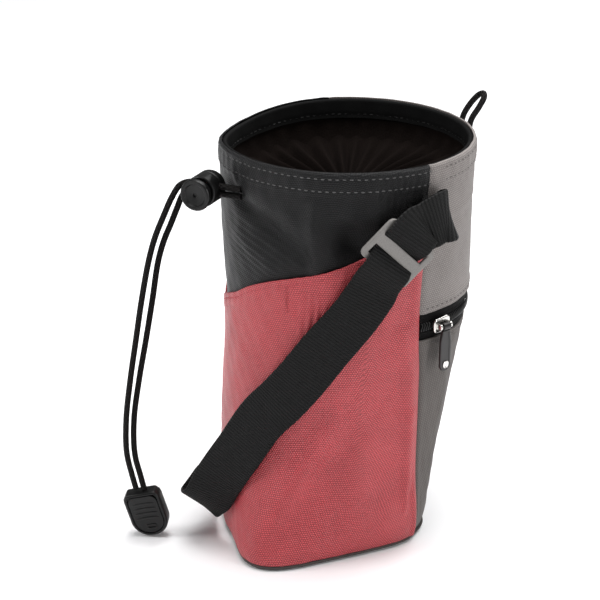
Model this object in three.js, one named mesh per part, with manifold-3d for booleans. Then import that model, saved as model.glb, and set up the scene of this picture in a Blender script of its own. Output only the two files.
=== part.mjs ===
// Climbing chalk bag: a soft round-mouthed bag on a squarer base, in millimetres, +Z up.
// The origin is in the underside of the base, below the centre of the mouth.
// The front is -Y, the right side is +X, and the back with its zip is +Y.
import * as THREE from 'three';
import { mergeVertices } from 'three/addons/utils/BufferGeometryUtils.js';
import Module from 'manifold-3d';

// Body sizes
const BODY_HEIGHT = 210;
const MOUTH_RADIUS = 62;
const BASE_FRONT = 62;
const BASE_BACK = 36.5;
const BASE_SIDE = 45;
const BASE_TUCK = 3.5;
const BASE_TUCK_HEIGHT = 12;
const RIM_DIP = 4;
const SLOPE_REACH = 2;
const GAP = 0.3;
const SEAM_GAP = 0.4;

// Cloth
const CLOTH = 1.2;
const BASE_THICKNESS = 2.6;
const BASE_BEVEL = 0.8;
const RIM_CLOTH_SHARE = 0.45;
const FACING_THICKNESS = 2.2;
const FACING_HEIGHT = 10.5;
const FACING_SET_DOWN = 0.8;
const FLEECE = 1.5;
const FUNNEL_DEPTH = 27;
const THROAT_RADIUS = 8.5;
const GATHERS = 16;
const GATHER_DEPTH = 1.5;

// Zip across the back
const ZIP_HEIGHT = 127;
const ZIP_WIDTH = 13.4;
const ZIP_RIDGE = 1;
const ZIP_SLIDER_ANGLE = 112;
const ZIP_SLIDER_LENGTH = 10.5;
const ZIP_SLIDER_WIDTH = 8;
const ZIP_SLIDER_THICKNESS = 1.8;
const BAR_RADIUS = 0.85;
const KNUCKLE_RADIUS = 1.9;
const KNUCKLE_LENGTH = 4.6;
const PIN_CLEARANCE = 0.35;
const FOOT_WIDTH = 1.3;
const PULL_LENGTH = 23.5;
const PULL_WIDTH = 7;
const PULL_THICKNESS = 1.7;
const PULL_INSET_RADIUS = 1.9;

// Webbing strap and its three-bar slider
const STRAP_WIDTH = 25;
const STRAP_THICKNESS = 1.6;
const STRAP_CLEARANCE = 0.9;
const STRAP_STAND = 12.5;
const STRAP_FOLD = 4.6;
const GLIDE_WIDTH = 31;
const GLIDE_LENGTH = 23;
const GLIDE_THICKNESS = 1.8;
const GLIDE_BAR = 3.2;
const GLIDE_CENTRE_BAR = 2.6;
const WEAVE_DEPTH = 2.3;
const WEAVE_FADE = 13;

// Cords, cord lock and end clip
const CORD_DIAMETER = 3;
const CORD_HOLE_CLEARANCE = 0.45;
const LOCK_DIAMETER = 15.6;
const LOCK_LENGTH = 13;
const LOCK_WALL = 1.6;
const LOCK_YAW = 43;
const LOCK_DROP = 19;
const LOCK_HEIGHT = BODY_HEIGHT - LOCK_DROP;
const LOCK_CLEARANCE = 2.7;
const LOCK_STANDOFF = MOUTH_RADIUS + LOCK_DIAMETER / 2 + LOCK_CLEARANCE;
const BUTTON_TRAVEL = 3;
const BUTTON_CAP = 2.8;
const BUTTON_DIMPLE = 1;
const CORD_PITCH = 3.7;
const CLIP_WIDTH = 19.5;
const CLIP_LENGTH = 26.5;
const CLIP_THICKNESS = 7.5;
const CLIP_LID = 1.1;
const CLIP_RIM = 2;
const CLIP_RIB_WIDTH = 1.2;
const CLIP_RIB_RISE = 0.45;
const CLIP_RIB_MARGIN = 1.5;
const CLIP_WINDOW_WIDTH = 4.4;
const CLIP_WINDOW_HEIGHT = 2;
const CLIP_WINDOW_CORNER = 0.4;
const CLIP_WINDOW_SHIFT = 1.5;
const CLIP_WINDOW_FOOT = 3.4;
const LOOP_WIDTH = 8.5;
const LOOP_RISE = 11.5;
const LOOP_LEAN = 9.5;
const LOOP_LEG = 15;

// Colours from the photograph
const RED = 0xbe4b50;
const GREY = 0x736e6c;
const BLACK = 0x26262a;
const WEBBING = 0x141212;
const STEEL = 0x78767a;

// Sections of the body by share of its height. A blend of 0 is the base size, 1 the mouth's.
const SECTIONS = {
  columns: ['height', 'front', 'back', 'side', 'frontSquare', 'backSquare', 'seam'],
  rows: [
    [0.00, 0.00, 0.00, 0.00, 3.0, 3.6, 116],
    [0.06, 0.00, 0.00, 0.00, 2.9, 3.6, 114],
    [0.20, 0.00, 0.14, 0.12, 2.5, 3.4, 106.5],
    [0.35, 0.33, 0.35, 0.33, 2.3, 3.2, 102.5],
    [0.48, 0.67, 0.57, 0.54, 2.2, 2.9, 100.8],
    [0.56, 1.00, 0.76, 0.69, 2.1, 2.5, 100.5],
    [0.66, 1.00, 0.96, 0.80, 2.05, 2.2, 101],
    [0.85, 1.00, 1.02, 0.95, 2.0, 2.05, 105],
    [1.00, 1.00, 1.02, 1.00, 2.0, 2.0, 109],
  ],
};

// Bulges and dents of the cloth: depth is a share of the mouth's radius, outward when positive.
const DENTS = {
  columns: ['angle', 'height', 'angleSpread', 'heightSpread', 'depth'],
  rows: [
    [38, 0.00, 28, 0.17, 0.20],
    [70, 0.87, 9, 0.055, -0.045],
    [53, 0.87, 6, 0.09, 0.025],
    [33, 0.88, 8, 0.06, -0.02],
    [86, 0.30, 9, 0.30, 0.02],
    [60, 0.30, 16, 0.22, -0.02],
    [10, 0.28, 14, 0.12, 0.02],
    [-70, 0.87, 10, 0.06, -0.035],
    [150, 0.80, 14, 0.10, -0.015],
  ],
};

// Top edge of the front pocket: height as a share of the body's, the same on both sides.
const POCKET_EDGE = {
  columns: ['angle', 'height'],
  rows: [[0, 0.648], [4, 0.650], [10, 0.668], [20, 0.698], [34, 0.729], [52, 0.757], [67, 0.781], [80, 0.810],
    [92, 0.834], [120, 0.850]],
};

// Funnel of the mouth: reach from wall to throat, drop as a share of its depth, share of the gather.
const FUNNEL = {
  columns: ['reach', 'drop', 'gather'],
  rows: [[0.020, 0.00, 0.0], [0.050, 0.20, 0.1], [0.110, 0.38, 0.3], [0.240, 0.50, 0.7],
    [0.560, 0.60, 1.0], [0.900, 0.73, 0.7], [1.000, 1.00, 0.3]],
};

// Half of the strap from the front of its loop up to the side seam, heights as shares of the body's.
// stand is a share of the strap's stand-off and tip turns its face down where it hangs clear.
const STRAP = {
  columns: ['angle', 'height', 'stand', 'tip'],
  rows: [[5.5, 0.130, 0.90, 0.90], [11, 0.200, 0.62, 0.60], [19, 0.292, 0.30, 0.25],
    [28.5, 0.388, 0.06, 0.05],
    [39, 0.446, 0.0, 0.0], [49, 0.500, 0.0, 0.0], [61, 0.590, 0.0, 0.0], [71.5, 0.672, 0.0, 0.0],
    [78.5, 0.750, 0.10, 0.0], [83, 0.791, 0.20, 0.0], [87.5, 0.818, 0.24, 0.0],
    [92, 0.840, 0.26, 0.0], [97, 0.860, 0.28, 0.0]],
};

// The strap's left half, which passes low round the front corner and up to the left seam.
const STRAP_LEFT = {
  columns: ['angle', 'height', 'stand', 'tip'],
  rows: [[-8, 0.122, 0.66, 0.60], [-19, 0.118, 0.30, 0.25], [-31, 0.122, 0.08, 0.05],
    [-43, 0.142, 0.0, 0.0], [-54, 0.185, 0.0, 0.0], [-64, 0.265, 0.0, 0.0], [-73, 0.390, 0.0, 0.0],
    [-81, 0.545, 0.0, 0.0], [-89, 0.710, 0.0, 0.0], [-95, 0.840, 0.0, 0.0]],
};
const STRAP_FRONT_HEIGHT = 0.102;
const STRAP_FRONT_WIDTH_DIRECTION = [0, 0.73, -0.68];
const GLIDE_ANGLE = 87.5;

// The folded upper end of the strap: angle, rise above its last row and share of the fold's depth
const FOLD = {
  columns: ['angle', 'rise', 'out'],
  rows: [[101, 3.4, 1], [106.5, 5.8, 1], [109.5, 5.4, 0.86], [110.8, 4.8, 0.5], [109.5, 4.0, 0.12],
    [106.5, 3.0, 0], [101, 1.0, 0]],
};
const FOLD_WIDTH_DIRECTION = [0.04, 0.26, -0.96];
const SEWN_ANGLE = 100;
const SEWN_RISE = 12;

// Routes of the two free ends of the drawcord, chosen by hand, from the front wall to the clip.
const CORD_A_POINTS = [
  [13.5, -59.9, 192.85], [9.5, -63.6, 192.85], [4.4, -68.4, 192.85], [0, -72.5, 192.85],
  [-3.7, -75.95, 192.85], [-7.1, -79.1, 192.7], [-9.2, -82.9, 190.7], [-8.2, -87.3, 185.6],
  [-7.2, -91.8, 177.6], [-7.2, -96.6, 167.0],
  [-7.7, -100.0, 155.4], [-9.0, -104.0, 134.6], [-10.4, -107.3, 113.2], [-11.8, -110.6, 91.5],
  [-13.1, -113.2, 69.2], [-14.3, -113.3, 50.0], [-15.2, -110.8, 36.5], [-15.6, -108.9, 28.1],
];
const CORD_B_POINTS = [
  [13.5, -59.9, 189.15], [9.5, -63.6, 189.15], [4.4, -68.4, 189.15], [0, -72.5, 189.15],
  [-3.7, -75.95, 189.15], [-6.9, -78.9, 188.9], [-8.0, -81.9, 186.2], [-7.2, -85.0, 180.6],
  [-6.8, -88.6, 172.9], [-7.0, -92.2, 164.9],
  [-7.7, -95.2, 154.7], [-9.0, -98.6, 133.6], [-10.4, -102.2, 112.3], [-11.8, -106.1, 90.6],
  [-13.0, -109.2, 68.4], [-13.6, -109.3, 49.0], [-13.6, -106.8, 36.0], [-13.4, -105.1, 27.6],
];
const CLIP_FOOT = [-16, -102.3, 0.85];
const CLIP_UP = [0.05, -0.16, 0.985];
const CLIP_FACE_YAW = 60;

const wasm = await Module();
wasm.setup();

const bag = new THREE.Group();
const rad = THREE.MathUtils.degToRad;
const lerp = THREE.MathUtils.lerp;

// Reads one column of a table at a place between its rows, as a smooth curve through them.
function readTable(table, name, at) {
  const { rows, columns } = table;
  const c = columns.indexOf(name);
  if (at <= rows[0][0]) return rows[0][c];
  const last = rows.length - 1;
  if (at >= rows[last][0]) return rows[last][c];
  let i = 0;
  while (rows[i + 1][0] < at) i += 1;
  const slope = (a, b) => (rows[b][c] - rows[a][c]) / (rows[b][0] - rows[a][0]);
  const limited = (a, b) => (a * b <= 0 ? 0 : (2 * a * b) / (a + b));
  const here = slope(i, i + 1);
  const before = i > 0 ? limited(slope(i - 1, i), here) : here;
  const after = i + 1 < last ? limited(here, slope(i + 1, i + 2)) : here;
  const span = rows[i + 1][0] - rows[i][0];
  const t = (at - rows[i][0]) / span;
  const rise = rows[i + 1][c] - rows[i][c];
  const startBend = before * span - rise;
  const endBend = rise - after * span;
  return rows[i][c] + t * rise + t * (1 - t) * ((1 - t) * startBend + t * endBend);
}

const seamAngle = (z) => readTable(SECTIONS, 'seam', z / BODY_HEIGHT);
const power = (value, exponent) => Math.sign(value) * Math.abs(value) ** exponent;

// A point of the cloth's outer face: a squared ellipse at each height, with its dents and bulges.
function facePoint(angle, z) {
  const share = z / BODY_HEIGHT;
  const side = lerp(BASE_SIDE, MOUTH_RADIUS, readTable(SECTIONS, 'side', share));
  const front = Math.cos(rad(angle)) > 0;
  const reach = front
    ? lerp(BASE_FRONT, MOUTH_RADIUS, readTable(SECTIONS, 'front', share))
    : lerp(BASE_BACK, MOUTH_RADIUS, readTable(SECTIONS, 'back', share));
  const square = 2 / readTable(SECTIONS, front ? 'frontSquare' : 'backSquare', share);
  const x = side * power(Math.sin(rad(angle)), square);
  const y = -reach * power(Math.cos(rad(angle)), square);
  const turn = ((angle + 180) % 360 + 360) % 360 - 180;
  let push = 0;
  for (const [a, h, spreadA, spreadH, depth] of DENTS.rows) {
    push += depth * MOUTH_RADIUS * Math.exp(-(((turn - a) / spreadA) ** 2) - ((share - h) / spreadH) ** 2);
  }
  const low = Math.min(1, Math.max(0, 1 - z / BASE_TUCK_HEIGHT));
  push -= BASE_TUCK * (1 - Math.sqrt(1 - low * low));
  const length = Math.hypot(x, y);
  const dip = RIM_DIP * share ** 5 * Math.exp(-(((turn + 45) / 35) ** 2));
  return new THREE.Vector3(x * (1 + push / length), y * (1 + push / length), z - dip);
}

// Outward direction of the cloth at a point of its face.
function faceNormal(angle, z) {
  const along = facePoint(angle + 1, z).sub(facePoint(angle - 1, z));
  const high = Math.min(z + SLOPE_REACH, BODY_HEIGHT);
  const up = facePoint(angle, high).sub(facePoint(angle, high - 2 * SLOPE_REACH));
  return along.cross(up).normalize();
}

// A point a given distance out from the cloth's face, level with it so that edges stay flush.
function wallPoint(angle, z, offset) {
  const normal = faceNormal(angle, z).setZ(0).normalize();
  return facePoint(angle, z).addScaledVector(normal, offset);
}

// A closed body through equal loops of points, capped at both ends or joined end to end.
// The second half of a loop runs back behind the first, and its quads are split the same way.
function loft(loops, joined = false) {
  const n = loops[0].length;
  const position = loops.flatMap((loop) => loop.flatMap((p) => [p.x, p.y, p.z]));
  const index = [];
  const count = joined ? loops.length : loops.length - 1;
  for (let i = 0; i < count; i += 1) {
    const next = (i + 1) % loops.length;
    for (let j = 0; j < n; j += 1) {
      const k = (j + 1) % n;
      const [a, b, c, d] = [i * n + j, i * n + k, next * n + k, next * n + j];
      index.push(...(j < n / 2 ? [a, b, c, a, c, d] : [a, b, d, b, c, d]));
    }
  }
  const cap = (start, flip) => {
    for (let j = 0; j < n / 2 - 1; j += 1) {
      const [a, b, c, d] = [start + j, start + j + 1, start + n - 2 - j, start + n - 1 - j];
      index.push(...(flip ? [a, c, b, a, d, c] : [a, b, c, a, c, d]));
    }
  };
  if (!joined) {
    cap(0, true);
    cap((loops.length - 1) * n, false);
  }
  return orient(position, index);
}

// A closed body through stacked rings, each end closed to a centre point.
function stack(rings, centres) {
  const n = rings[0].length;
  const position = [...rings.flat(), ...centres].flatMap((p) => [p.x, p.y, p.z]);
  const index = [];
  for (let i = 0; i < rings.length - 1; i += 1) {
    for (let j = 0; j < n; j += 1) {
      const k = (j + 1) % n;
      index.push(i * n + j, i * n + k, (i + 1) * n + k, i * n + j, (i + 1) * n + k, (i + 1) * n + j);
    }
  }
  const bottom = rings.length * n;
  const top = (rings.length - 1) * n;
  for (let j = 0; j < n; j += 1) {
    const k = (j + 1) % n;
    index.push(bottom, k, j, bottom + 1, top + j, top + k);
  }
  return orient(position, index);
}

// Makes a geometry whose faces all point outward.
function orient(position, index) {
  let volume = 0;
  const at = (i) => new THREE.Vector3().fromArray(position, i * 3);
  for (let i = 0; i < index.length; i += 3) {
    volume += at(index[i]).dot(at(index[i + 1]).cross(at(index[i + 2])));
  }
  if (volume < 0) {
    for (let i = 0; i < index.length; i += 3) {
      [index[i], index[i + 1]] = [index[i + 1], index[i]];
    }
  }
  const geometry = new THREE.BufferGeometry();
  geometry.setAttribute('position', new THREE.Float32BufferAttribute(position, 3));
  geometry.setIndex(index);
  return geometry;
}

// Turns a geometry into a solid for joining and cutting.
function toSolid(geometry) {
  const bare = geometry.clone();
  bare.deleteAttribute('normal');
  bare.deleteAttribute('uv');
  const merged = mergeVertices(bare, 1e-4);
  const vertProperties = new Float32Array(merged.attributes.position.array);
  const triVerts = new Uint32Array(merged.index.array);
  return new wasm.Manifold(new wasm.Mesh({ numProp: 3, vertProperties, triVerts }));
}

// Turns a joined or cut solid back into a geometry.
function toGeometry(solid) {
  const mesh = solid.getMesh();
  const geometry = new THREE.BufferGeometry();
  geometry.setAttribute('position', new THREE.Float32BufferAttribute(mesh.vertProperties, 3));
  geometry.setIndex(Array.from(mesh.triVerts));
  return geometry;
}

const joined = (sum, g) => sum.add(toSolid(g));
const less = (sum, g) => sum.subtract(toSolid(g));
const join = (first, ...others) => toGeometry(others.reduce(joined, toSolid(first)));
const cut = (first, ...others) => toGeometry(others.reduce(less, toSolid(first)));

// Adds one named piece to the bag.
function addPiece(name, geometry, color, roughness, metalness = 0, parent = bag) {
  geometry.computeVertexNormals();
  const mesh = new THREE.Mesh(geometry, new THREE.MeshStandardMaterial({ color, roughness, metalness }));
  mesh.name = name;
  parent.add(mesh);
  return mesh;
}

const spread = (from, to, steps) => Array.from({ length: steps + 1 }, (_, i) => lerp(from, to, i / steps));
const byPlace = (a, b) => a - b;

// A cloth panel between two seams: a wall swept round the body from its lower to its upper edge.
function panelWall({ fromSeam, steps, low, upper, courses = [], rows, outer, thickness, behind = false }) {
  const degreeLength = rad(1) * MOUTH_RADIUS;
  const loops = spread(-1, 1, steps).map((s) => {
    const angleAt = (z) => {
      const half = behind ? 180 - seamAngle(z) : seamAngle(z);
      const trimmed = half - (Math.abs(s) === 1 ? fromSeam : SEAM_GAP / 2) / degreeLength;
      return behind ? 180 + s * trimmed : s * trimmed;
    };
    const high = upper(angleAt(upper(angleAt(BODY_HEIGHT))));
    const from = courses.length > 0 ? courses[courses.length - 1] : low;
    const places = [...courses.map((z) => [z, 0]), ...rows.map((r) => [lerp(from, high, r), r])];
    const face = places.map(([z, row]) => wallPoint(angleAt(z), z, outer(row)));
    const back = places.map(([z, row]) => wallPoint(angleAt(z), z, outer(row) - thickness(row)));
    return [...face, ...back.reverse()];
  });
  return loft(loops);
}

// Front and back walls of the bag
const wallFoot = BASE_THICKNESS + GAP;
const zipTop = ZIP_HEIGHT + ZIP_WIDTH / 2;
const zipFoot = ZIP_HEIGHT - ZIP_WIDTH / 2;
const rimTaper = (row) => (row === 1 ? CLOTH * RIM_CLOTH_SHARE : CLOTH);
const rimOuter = (row) => (row === 1 ? -CLOTH * (1 - RIM_CLOTH_SHARE) / 2 : 0);

// Heights at which every lower panel has a row of points, so that layers follow each other.
const courseShares = [0.32, 0.6, 1];
const lowCourses = [wallFoot, ...courseShares.map((share) => share * BASE_TUCK_HEIGHT)];
const sideCourses = [0.12, 0.22, 0.36, 0.5].map((share) => share * BODY_HEIGHT);

const frontWall = panelWall({
  fromSeam: SEAM_GAP / 2,
  steps: 30,
  low: wallFoot,
  upper: () => BODY_HEIGHT,
  courses: [...lowCourses, ...sideCourses, zipFoot, zipTop],
  rows: [0.36, 0.54, 0.72, 0.88, 0.985, 1],
  outer: rimOuter,
  thickness: rimTaper,
});

// The slot in the front wall that the drawcord leaves by, on the first stretch of its route.
const cordDirection = new THREE.Vector3(-Math.cos(rad(LOCK_YAW)), -Math.sin(rad(LOCK_YAW)), 0);
const lockAxis = new THREE.Vector3(Math.sin(rad(LOCK_YAW)), -Math.cos(rad(LOCK_YAW)), 0);
const lockCentre = new THREE.Vector3(0, -LOCK_STANDOFF, LOCK_HEIGHT);
const cordHole = CORD_DIAMETER + 2 * CORD_HOLE_CLEARANCE;

// A round-ended slot through which both cords pass, along the cords' direction.
function cordSlot(length, centre, alongAxis = cordHole) {
  const shape = new THREE.Shape();
  const tall = CORD_PITCH + cordHole;
  const bevel = cordHole * 0.3;
  const [w, h] = [alongAxis / 2, tall / 2];
  shape.moveTo(-w + bevel, -h);
  shape.lineTo(w - bevel, -h);
  shape.lineTo(w, -h + bevel);
  shape.lineTo(w, h - bevel);
  shape.lineTo(w - bevel, h);
  shape.lineTo(-w + bevel, h);
  shape.lineTo(-w, h - bevel);
  shape.lineTo(-w, -h + bevel);
  shape.closePath();
  const geometry = new THREE.ExtrudeGeometry(shape, { depth: length, bevelEnabled: false });
  geometry.translate(0, 0, -length / 2);
  const frame = new THREE.Matrix4().makeBasis(lockAxis, new THREE.Vector3(0, 0, 1), cordDirection);
  geometry.applyMatrix4(frame.setPosition(centre));
  return geometry;
}

const cordExit = lockCentre.clone().addScaledVector(cordDirection, -LOCK_DIAMETER);
addPiece('front_panel', cut(frontWall, cordSlot(LOCK_DIAMETER, cordExit)), BLACK, 0.9);

const pocketEdge = (angle) => BODY_HEIGHT * readTable(POCKET_EDGE, 'height', Math.abs(angle));
addPiece('front_pocket', panelWall({
  fromSeam: 2 * SEAM_GAP,
  steps: 30,
  low: wallFoot,
  upper: pocketEdge,
  courses: [...lowCourses, ...sideCourses, zipFoot, zipTop],
  rows: [0.5, 1],
  outer: () => GAP + CLOTH,
  thickness: () => CLOTH,
}), RED, 0.75);

addPiece('back_panel', panelWall({
  fromSeam: SEAM_GAP / 2,
  steps: 18,
  low: zipTop + GAP,
  upper: () => BODY_HEIGHT,
  rows: [0, 0.25, 0.5, 0.75, 0.98, 1],
  outer: rimOuter,
  thickness: rimTaper,
  behind: true,
}), GREY, 0.8);

addPiece('back_pocket_panel', panelWall({
  fromSeam: SEAM_GAP / 2,
  steps: 18,
  low: wallFoot,
  upper: () => zipFoot - GAP,
  courses: [...lowCourses, ...sideCourses],
  rows: [1],
  outer: () => 0,
  thickness: () => CLOTH,
  behind: true,
}), GREY, 0.8);

addPiece('zipper_tape', panelWall({
  fromSeam: SEAM_GAP / 2,
  steps: 18,
  low: zipFoot,
  upper: () => zipTop,
  rows: [0, 0.4, 0.5, 0.6, 1],
  outer: (row) => (row > 0.3 && row < 0.7 ? ZIP_RIDGE * (1 - 4 * Math.abs(row - 0.5)) : 0),
  thickness: () => CLOTH,
  behind: true,
}), WEBBING, 0.7);

// Base: a low grey tray under all the walls
const BASE_STEPS = 56;
const ringAngles = Array.from({ length: BASE_STEPS }, (_, i) => (i * 360) / BASE_STEPS);
const baseRing = (z, inset) => ringAngles.map((a) => wallPoint(a, z, GAP + CLOTH - inset));
const baseRings = [baseRing(0, BASE_BEVEL), baseRing(BASE_BEVEL, 0), baseRing(BASE_THICKNESS, 0)];
const baseCentre = (BASE_BACK - BASE_FRONT) / 2;
const baseCentres = [0, BASE_THICKNESS].map((z) => new THREE.Vector3(0, baseCentre, z));
addPiece('base_panel', stack(baseRings, baseCentres), GREY, 0.85);

// Facing inside the mouth, and the gathered fleece below it
const facingTop = BODY_HEIGHT - FACING_SET_DOWN;
const facingFoot = BODY_HEIGHT - FACING_HEIGHT;
const facingInner = CLOTH + GAP + FACING_THICKNESS;
const funnelAngles = Array.from({ length: GATHERS * 4 }, (_, i) => (i * 90) / GATHERS);
addPiece('mouth_facing', loft(funnelAngles.map((a) => [
  wallPoint(a, facingFoot, -CLOTH - GAP),
  wallPoint(a, facingTop, -CLOTH - GAP),
  wallPoint(a, facingTop, -facingInner + 0.5),
  wallPoint(a, facingFoot, -facingInner),
]), true), BLACK, 0.85);

// One radial strip of the funnel: its path from wall to throat, rippled, with its thickness below.
function funnelStrip(angle) {
  const top = facingFoot - GAP - FLEECE * 0.3;
  const start = wallPoint(angle, top, -CLOTH - GAP);
  const radius = Math.hypot(start.x, start.y);
  const path = FUNNEL.rows.map(([reach, drop]) => new THREE.Vector2(
    lerp(radius, THROAT_RADIUS + FLEECE, reach),
    start.z - drop * FUNNEL_DEPTH,
  ));
  const ripple = Math.cos(rad(angle * GATHERS));
  const direction = new THREE.Vector2(start.x, start.y).normalize();
  const points = path.map((p, i) => {
    const before = path[Math.max(0, i - 1)];
    const after = path[Math.min(path.length - 1, i + 1)];
    const run = after.clone().sub(before).normalize();
    const inward = new THREE.Vector2(run.y, -run.x);
    const lift = ripple * GATHER_DEPTH * FUNNEL.rows[i][2];
    return {
      upper: p.clone().addScaledVector(inward, lift + FLEECE),
      lower: p.clone().addScaledVector(inward, lift),
    };
  });
  const inSpace = (p) => new THREE.Vector3(direction.x * p.x, direction.y * p.x, p.y);
  return [...points.map((p) => inSpace(p.upper)), ...points.map((p) => inSpace(p.lower)).reverse()];
}

addPiece('lining_funnel', loft(funnelAngles.map(funnelStrip), true), BLACK, 0.95);

// Centre line of the strap: its lowest place in front, and a table for each half
const strapBase = GAP + CLOTH + STRAP_CLEARANCE + STRAP_THICKNESS / 2;
const frontWidth = new THREE.Vector3().fromArray(STRAP_FRONT_WIDTH_DIRECTION).normalize();
const strapFront = {
  place: wallPoint(0, STRAP_FRONT_HEIGHT * BODY_HEIGHT, strapBase + STRAP_STAND),
  width: frontWidth.clone(),
};

// Stations of one half, from the front up. A turn of 1 is the right half, -1 the left.
function strapHalf(table, turn) {
  const half = table.rows.map(([angle, height, stand]) => ({
    angle,
    z: height * BODY_HEIGHT,
    place: wallPoint(angle, height * BODY_HEIGHT, strapBase + stand * STRAP_STAND),
  }));
  half.forEach((station, i) => {
    const before = i === 0 ? strapFront.place : half[i - 1].place;
    const after = half[Math.min(i + 1, half.length - 1)].place;
    const run = before.clone().sub(after).normalize();
    const across = faceNormal(station.angle, station.z).cross(run).normalize().multiplyScalar(turn);
    station.width = across.lerp(frontWidth, table.rows[i][3]).normalize();
  });
  return half;
}

const strapRight = strapHalf(STRAP, 1);
const strapLeft = strapHalf(STRAP_LEFT, -1);

// The strap's upper end goes on past the seam, folds over and comes back to be sewn down.
function foldedEnd() {
  const last = strapRight[strapRight.length - 1];
  const z = last.z;
  const at = (angle, height, out) => wallPoint(angle, height, strapBase + out);
  const places = FOLD.rows.map(([angle, rise, out]) => at(angle, z + rise, STRAP_FOLD * out));
  const across = new THREE.Vector3().fromArray(FOLD_WIDTH_DIRECTION).normalize();
  return places.map((place) => ({ place, width: across.clone() }));
}

function sewnEnd() {
  const last = strapLeft[strapLeft.length - 1];
  return { place: wallPoint(-SEWN_ANGLE, last.z + SEWN_RISE, strapBase), width: last.width };
}

const stations = [
  sewnEnd(),
  ...strapLeft.slice().reverse(),
  strapFront,
  ...strapRight,
  ...foldedEnd(),
];
const strapLine = new THREE.CatmullRomCurve3(stations.map((s) => s.place), false, 'centripetal');
const strapWidths = new THREE.CatmullRomCurve3(stations.map((s) => s.width), false, 'centripetal');
const glideIndex = STRAP.rows.findIndex((row) => row[0] === GLIDE_ANGLE) + strapLeft.length + 2;
const glideShare = glideIndex / (stations.length - 1);

// The strap's frame at a share of its stations: place, run, width direction and outward face.
function strapFrame(share) {
  const place = strapLine.getPoint(share);
  const ahead = strapLine.getPoint(Math.min(1, share + 1e-3));
  const run = ahead.sub(strapLine.getPoint(Math.max(0, share - 1e-3))).normalize();
  const width = strapWidths.getPoint(share);
  width.addScaledVector(run, -width.dot(run)).normalize();
  const face = new THREE.Vector3().crossVectors(width, run).normalize();
  return { place, run, width, face };
}

const glide = strapFrame(glideShare);

// How far the strap rises over the outer bars and dips under the centre bar of its slider.
function weaveLift(distance) {
  const barPlace = (GLIDE_LENGTH - GLIDE_BAR) / 2 - 0.9;
  const d = Math.abs(distance);
  if (d < barPlace) return -WEAVE_DEPTH * Math.cos((Math.PI * d) / barPlace);
  if (d > barPlace + WEAVE_FADE) return 0;
  return WEAVE_DEPTH * (0.5 + 0.5 * Math.cos((Math.PI * (d - barPlace)) / WEAVE_FADE));
}

// A cross-section of the strap. It is drawn straight and flat where it passes its slider.
function strapSection(share) {
  const { place, run, width, face } = strapFrame(share);
  const distance = place.clone().sub(glide.place).dot(glide.run);
  const near = Math.abs(share - glideShare) < 2.6 / stations.length;
  const lift = near ? weaveLift(distance) : 0;
  const slope = near ? (weaveLift(distance + 0.1) - weaveLift(distance - 0.1)) / 0.2 : 0;
  if (near) {
    const flat = 1 - THREE.MathUtils.smoothstep(Math.abs(distance), GLIDE_LENGTH / 2, GLIDE_LENGTH);
    place.lerp(glide.place.clone().addScaledVector(glide.run, distance), flat);
    width.lerp(glide.width, flat).normalize();
    face.lerp(glide.face, flat).normalize();
    run.lerp(glide.run, flat).normalize();
  }
  const outward = face.clone().addScaledVector(run, -slope).normalize();
  const centre = place.clone().addScaledVector(face, lift);
  const corner = (w, t) => centre.clone()
    .addScaledVector(width, (w * STRAP_WIDTH) / 2)
    .addScaledVector(outward, (t * STRAP_THICKNESS) / 2);
  return [corner(-1, 1), corner(1, 1), corner(1, -1), corner(-1, -1)];
}

const glideSamples = spread(-2.2, 2.2, 30).map((s) => glideShare + s / (stations.length - 1));
const nearGlide = (s) => s > glideSamples[0] - 0.004 && s < glideSamples[30] + 0.004;
const plainSamples = spread(0, 1, 84).filter((s) => !nearGlide(s));
const strapSamples = [...plainSamples, ...glideSamples].sort(byPlace);
addPiece('strap', loft(strapSamples.map(strapSection)), WEBBING, 0.85);

// Three-bar slider: a metal frame with two slots, in the strap's plane
function roundedRectangle(width, height, radius, Kind = THREE.Shape) {
  const outline = new Kind();
  const [w, h] = [width / 2, height / 2];
  outline.moveTo(-w + radius, -h);
  outline.lineTo(w - radius, -h);
  outline.absarc(w - radius, -h + radius, radius, -Math.PI / 2, 0);
  outline.lineTo(w, h - radius);
  outline.absarc(w - radius, h - radius, radius, 0, Math.PI / 2);
  outline.lineTo(-w + radius, h);
  outline.absarc(-w + radius, h - radius, radius, Math.PI / 2, Math.PI);
  outline.lineTo(-w, -h + radius);
  outline.absarc(-w + radius, -h + radius, radius, Math.PI, 1.5 * Math.PI);
  return outline;
}

function plate(shape, depth, curveSegments = 3) {
  const geometry = new THREE.ExtrudeGeometry(shape, { depth, bevelEnabled: false, curveSegments });
  geometry.translate(0, 0, -depth / 2);
  return geometry;
}

function glideGeometry() {
  const shape = roundedRectangle(GLIDE_WIDTH, GLIDE_LENGTH, 2.4);
  const slotLength = (GLIDE_LENGTH - 2 * GLIDE_BAR - GLIDE_CENTRE_BAR) / 2;
  const slotCentre = (GLIDE_CENTRE_BAR + slotLength) / 2;
  for (const side of [-1, 1]) {
    const slot = roundedRectangle(STRAP_WIDTH + 4 * GAP, slotLength, 0.8, THREE.Path);
    const points = slot.getPoints(2).map((p) => new THREE.Vector2(p.x, p.y + side * slotCentre));
    shape.holes.push(new THREE.Path(points));
  }
  const geometry = plate(shape, GLIDE_THICKNESS);
  const frame = new THREE.Matrix4().makeBasis(glide.width, glide.run, glide.width.clone().cross(glide.run));
  return geometry.applyMatrix4(frame.setPosition(glide.place));
}

addPiece('strap_slider', glideGeometry(), STEEL, 0.4, 0.9);

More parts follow.
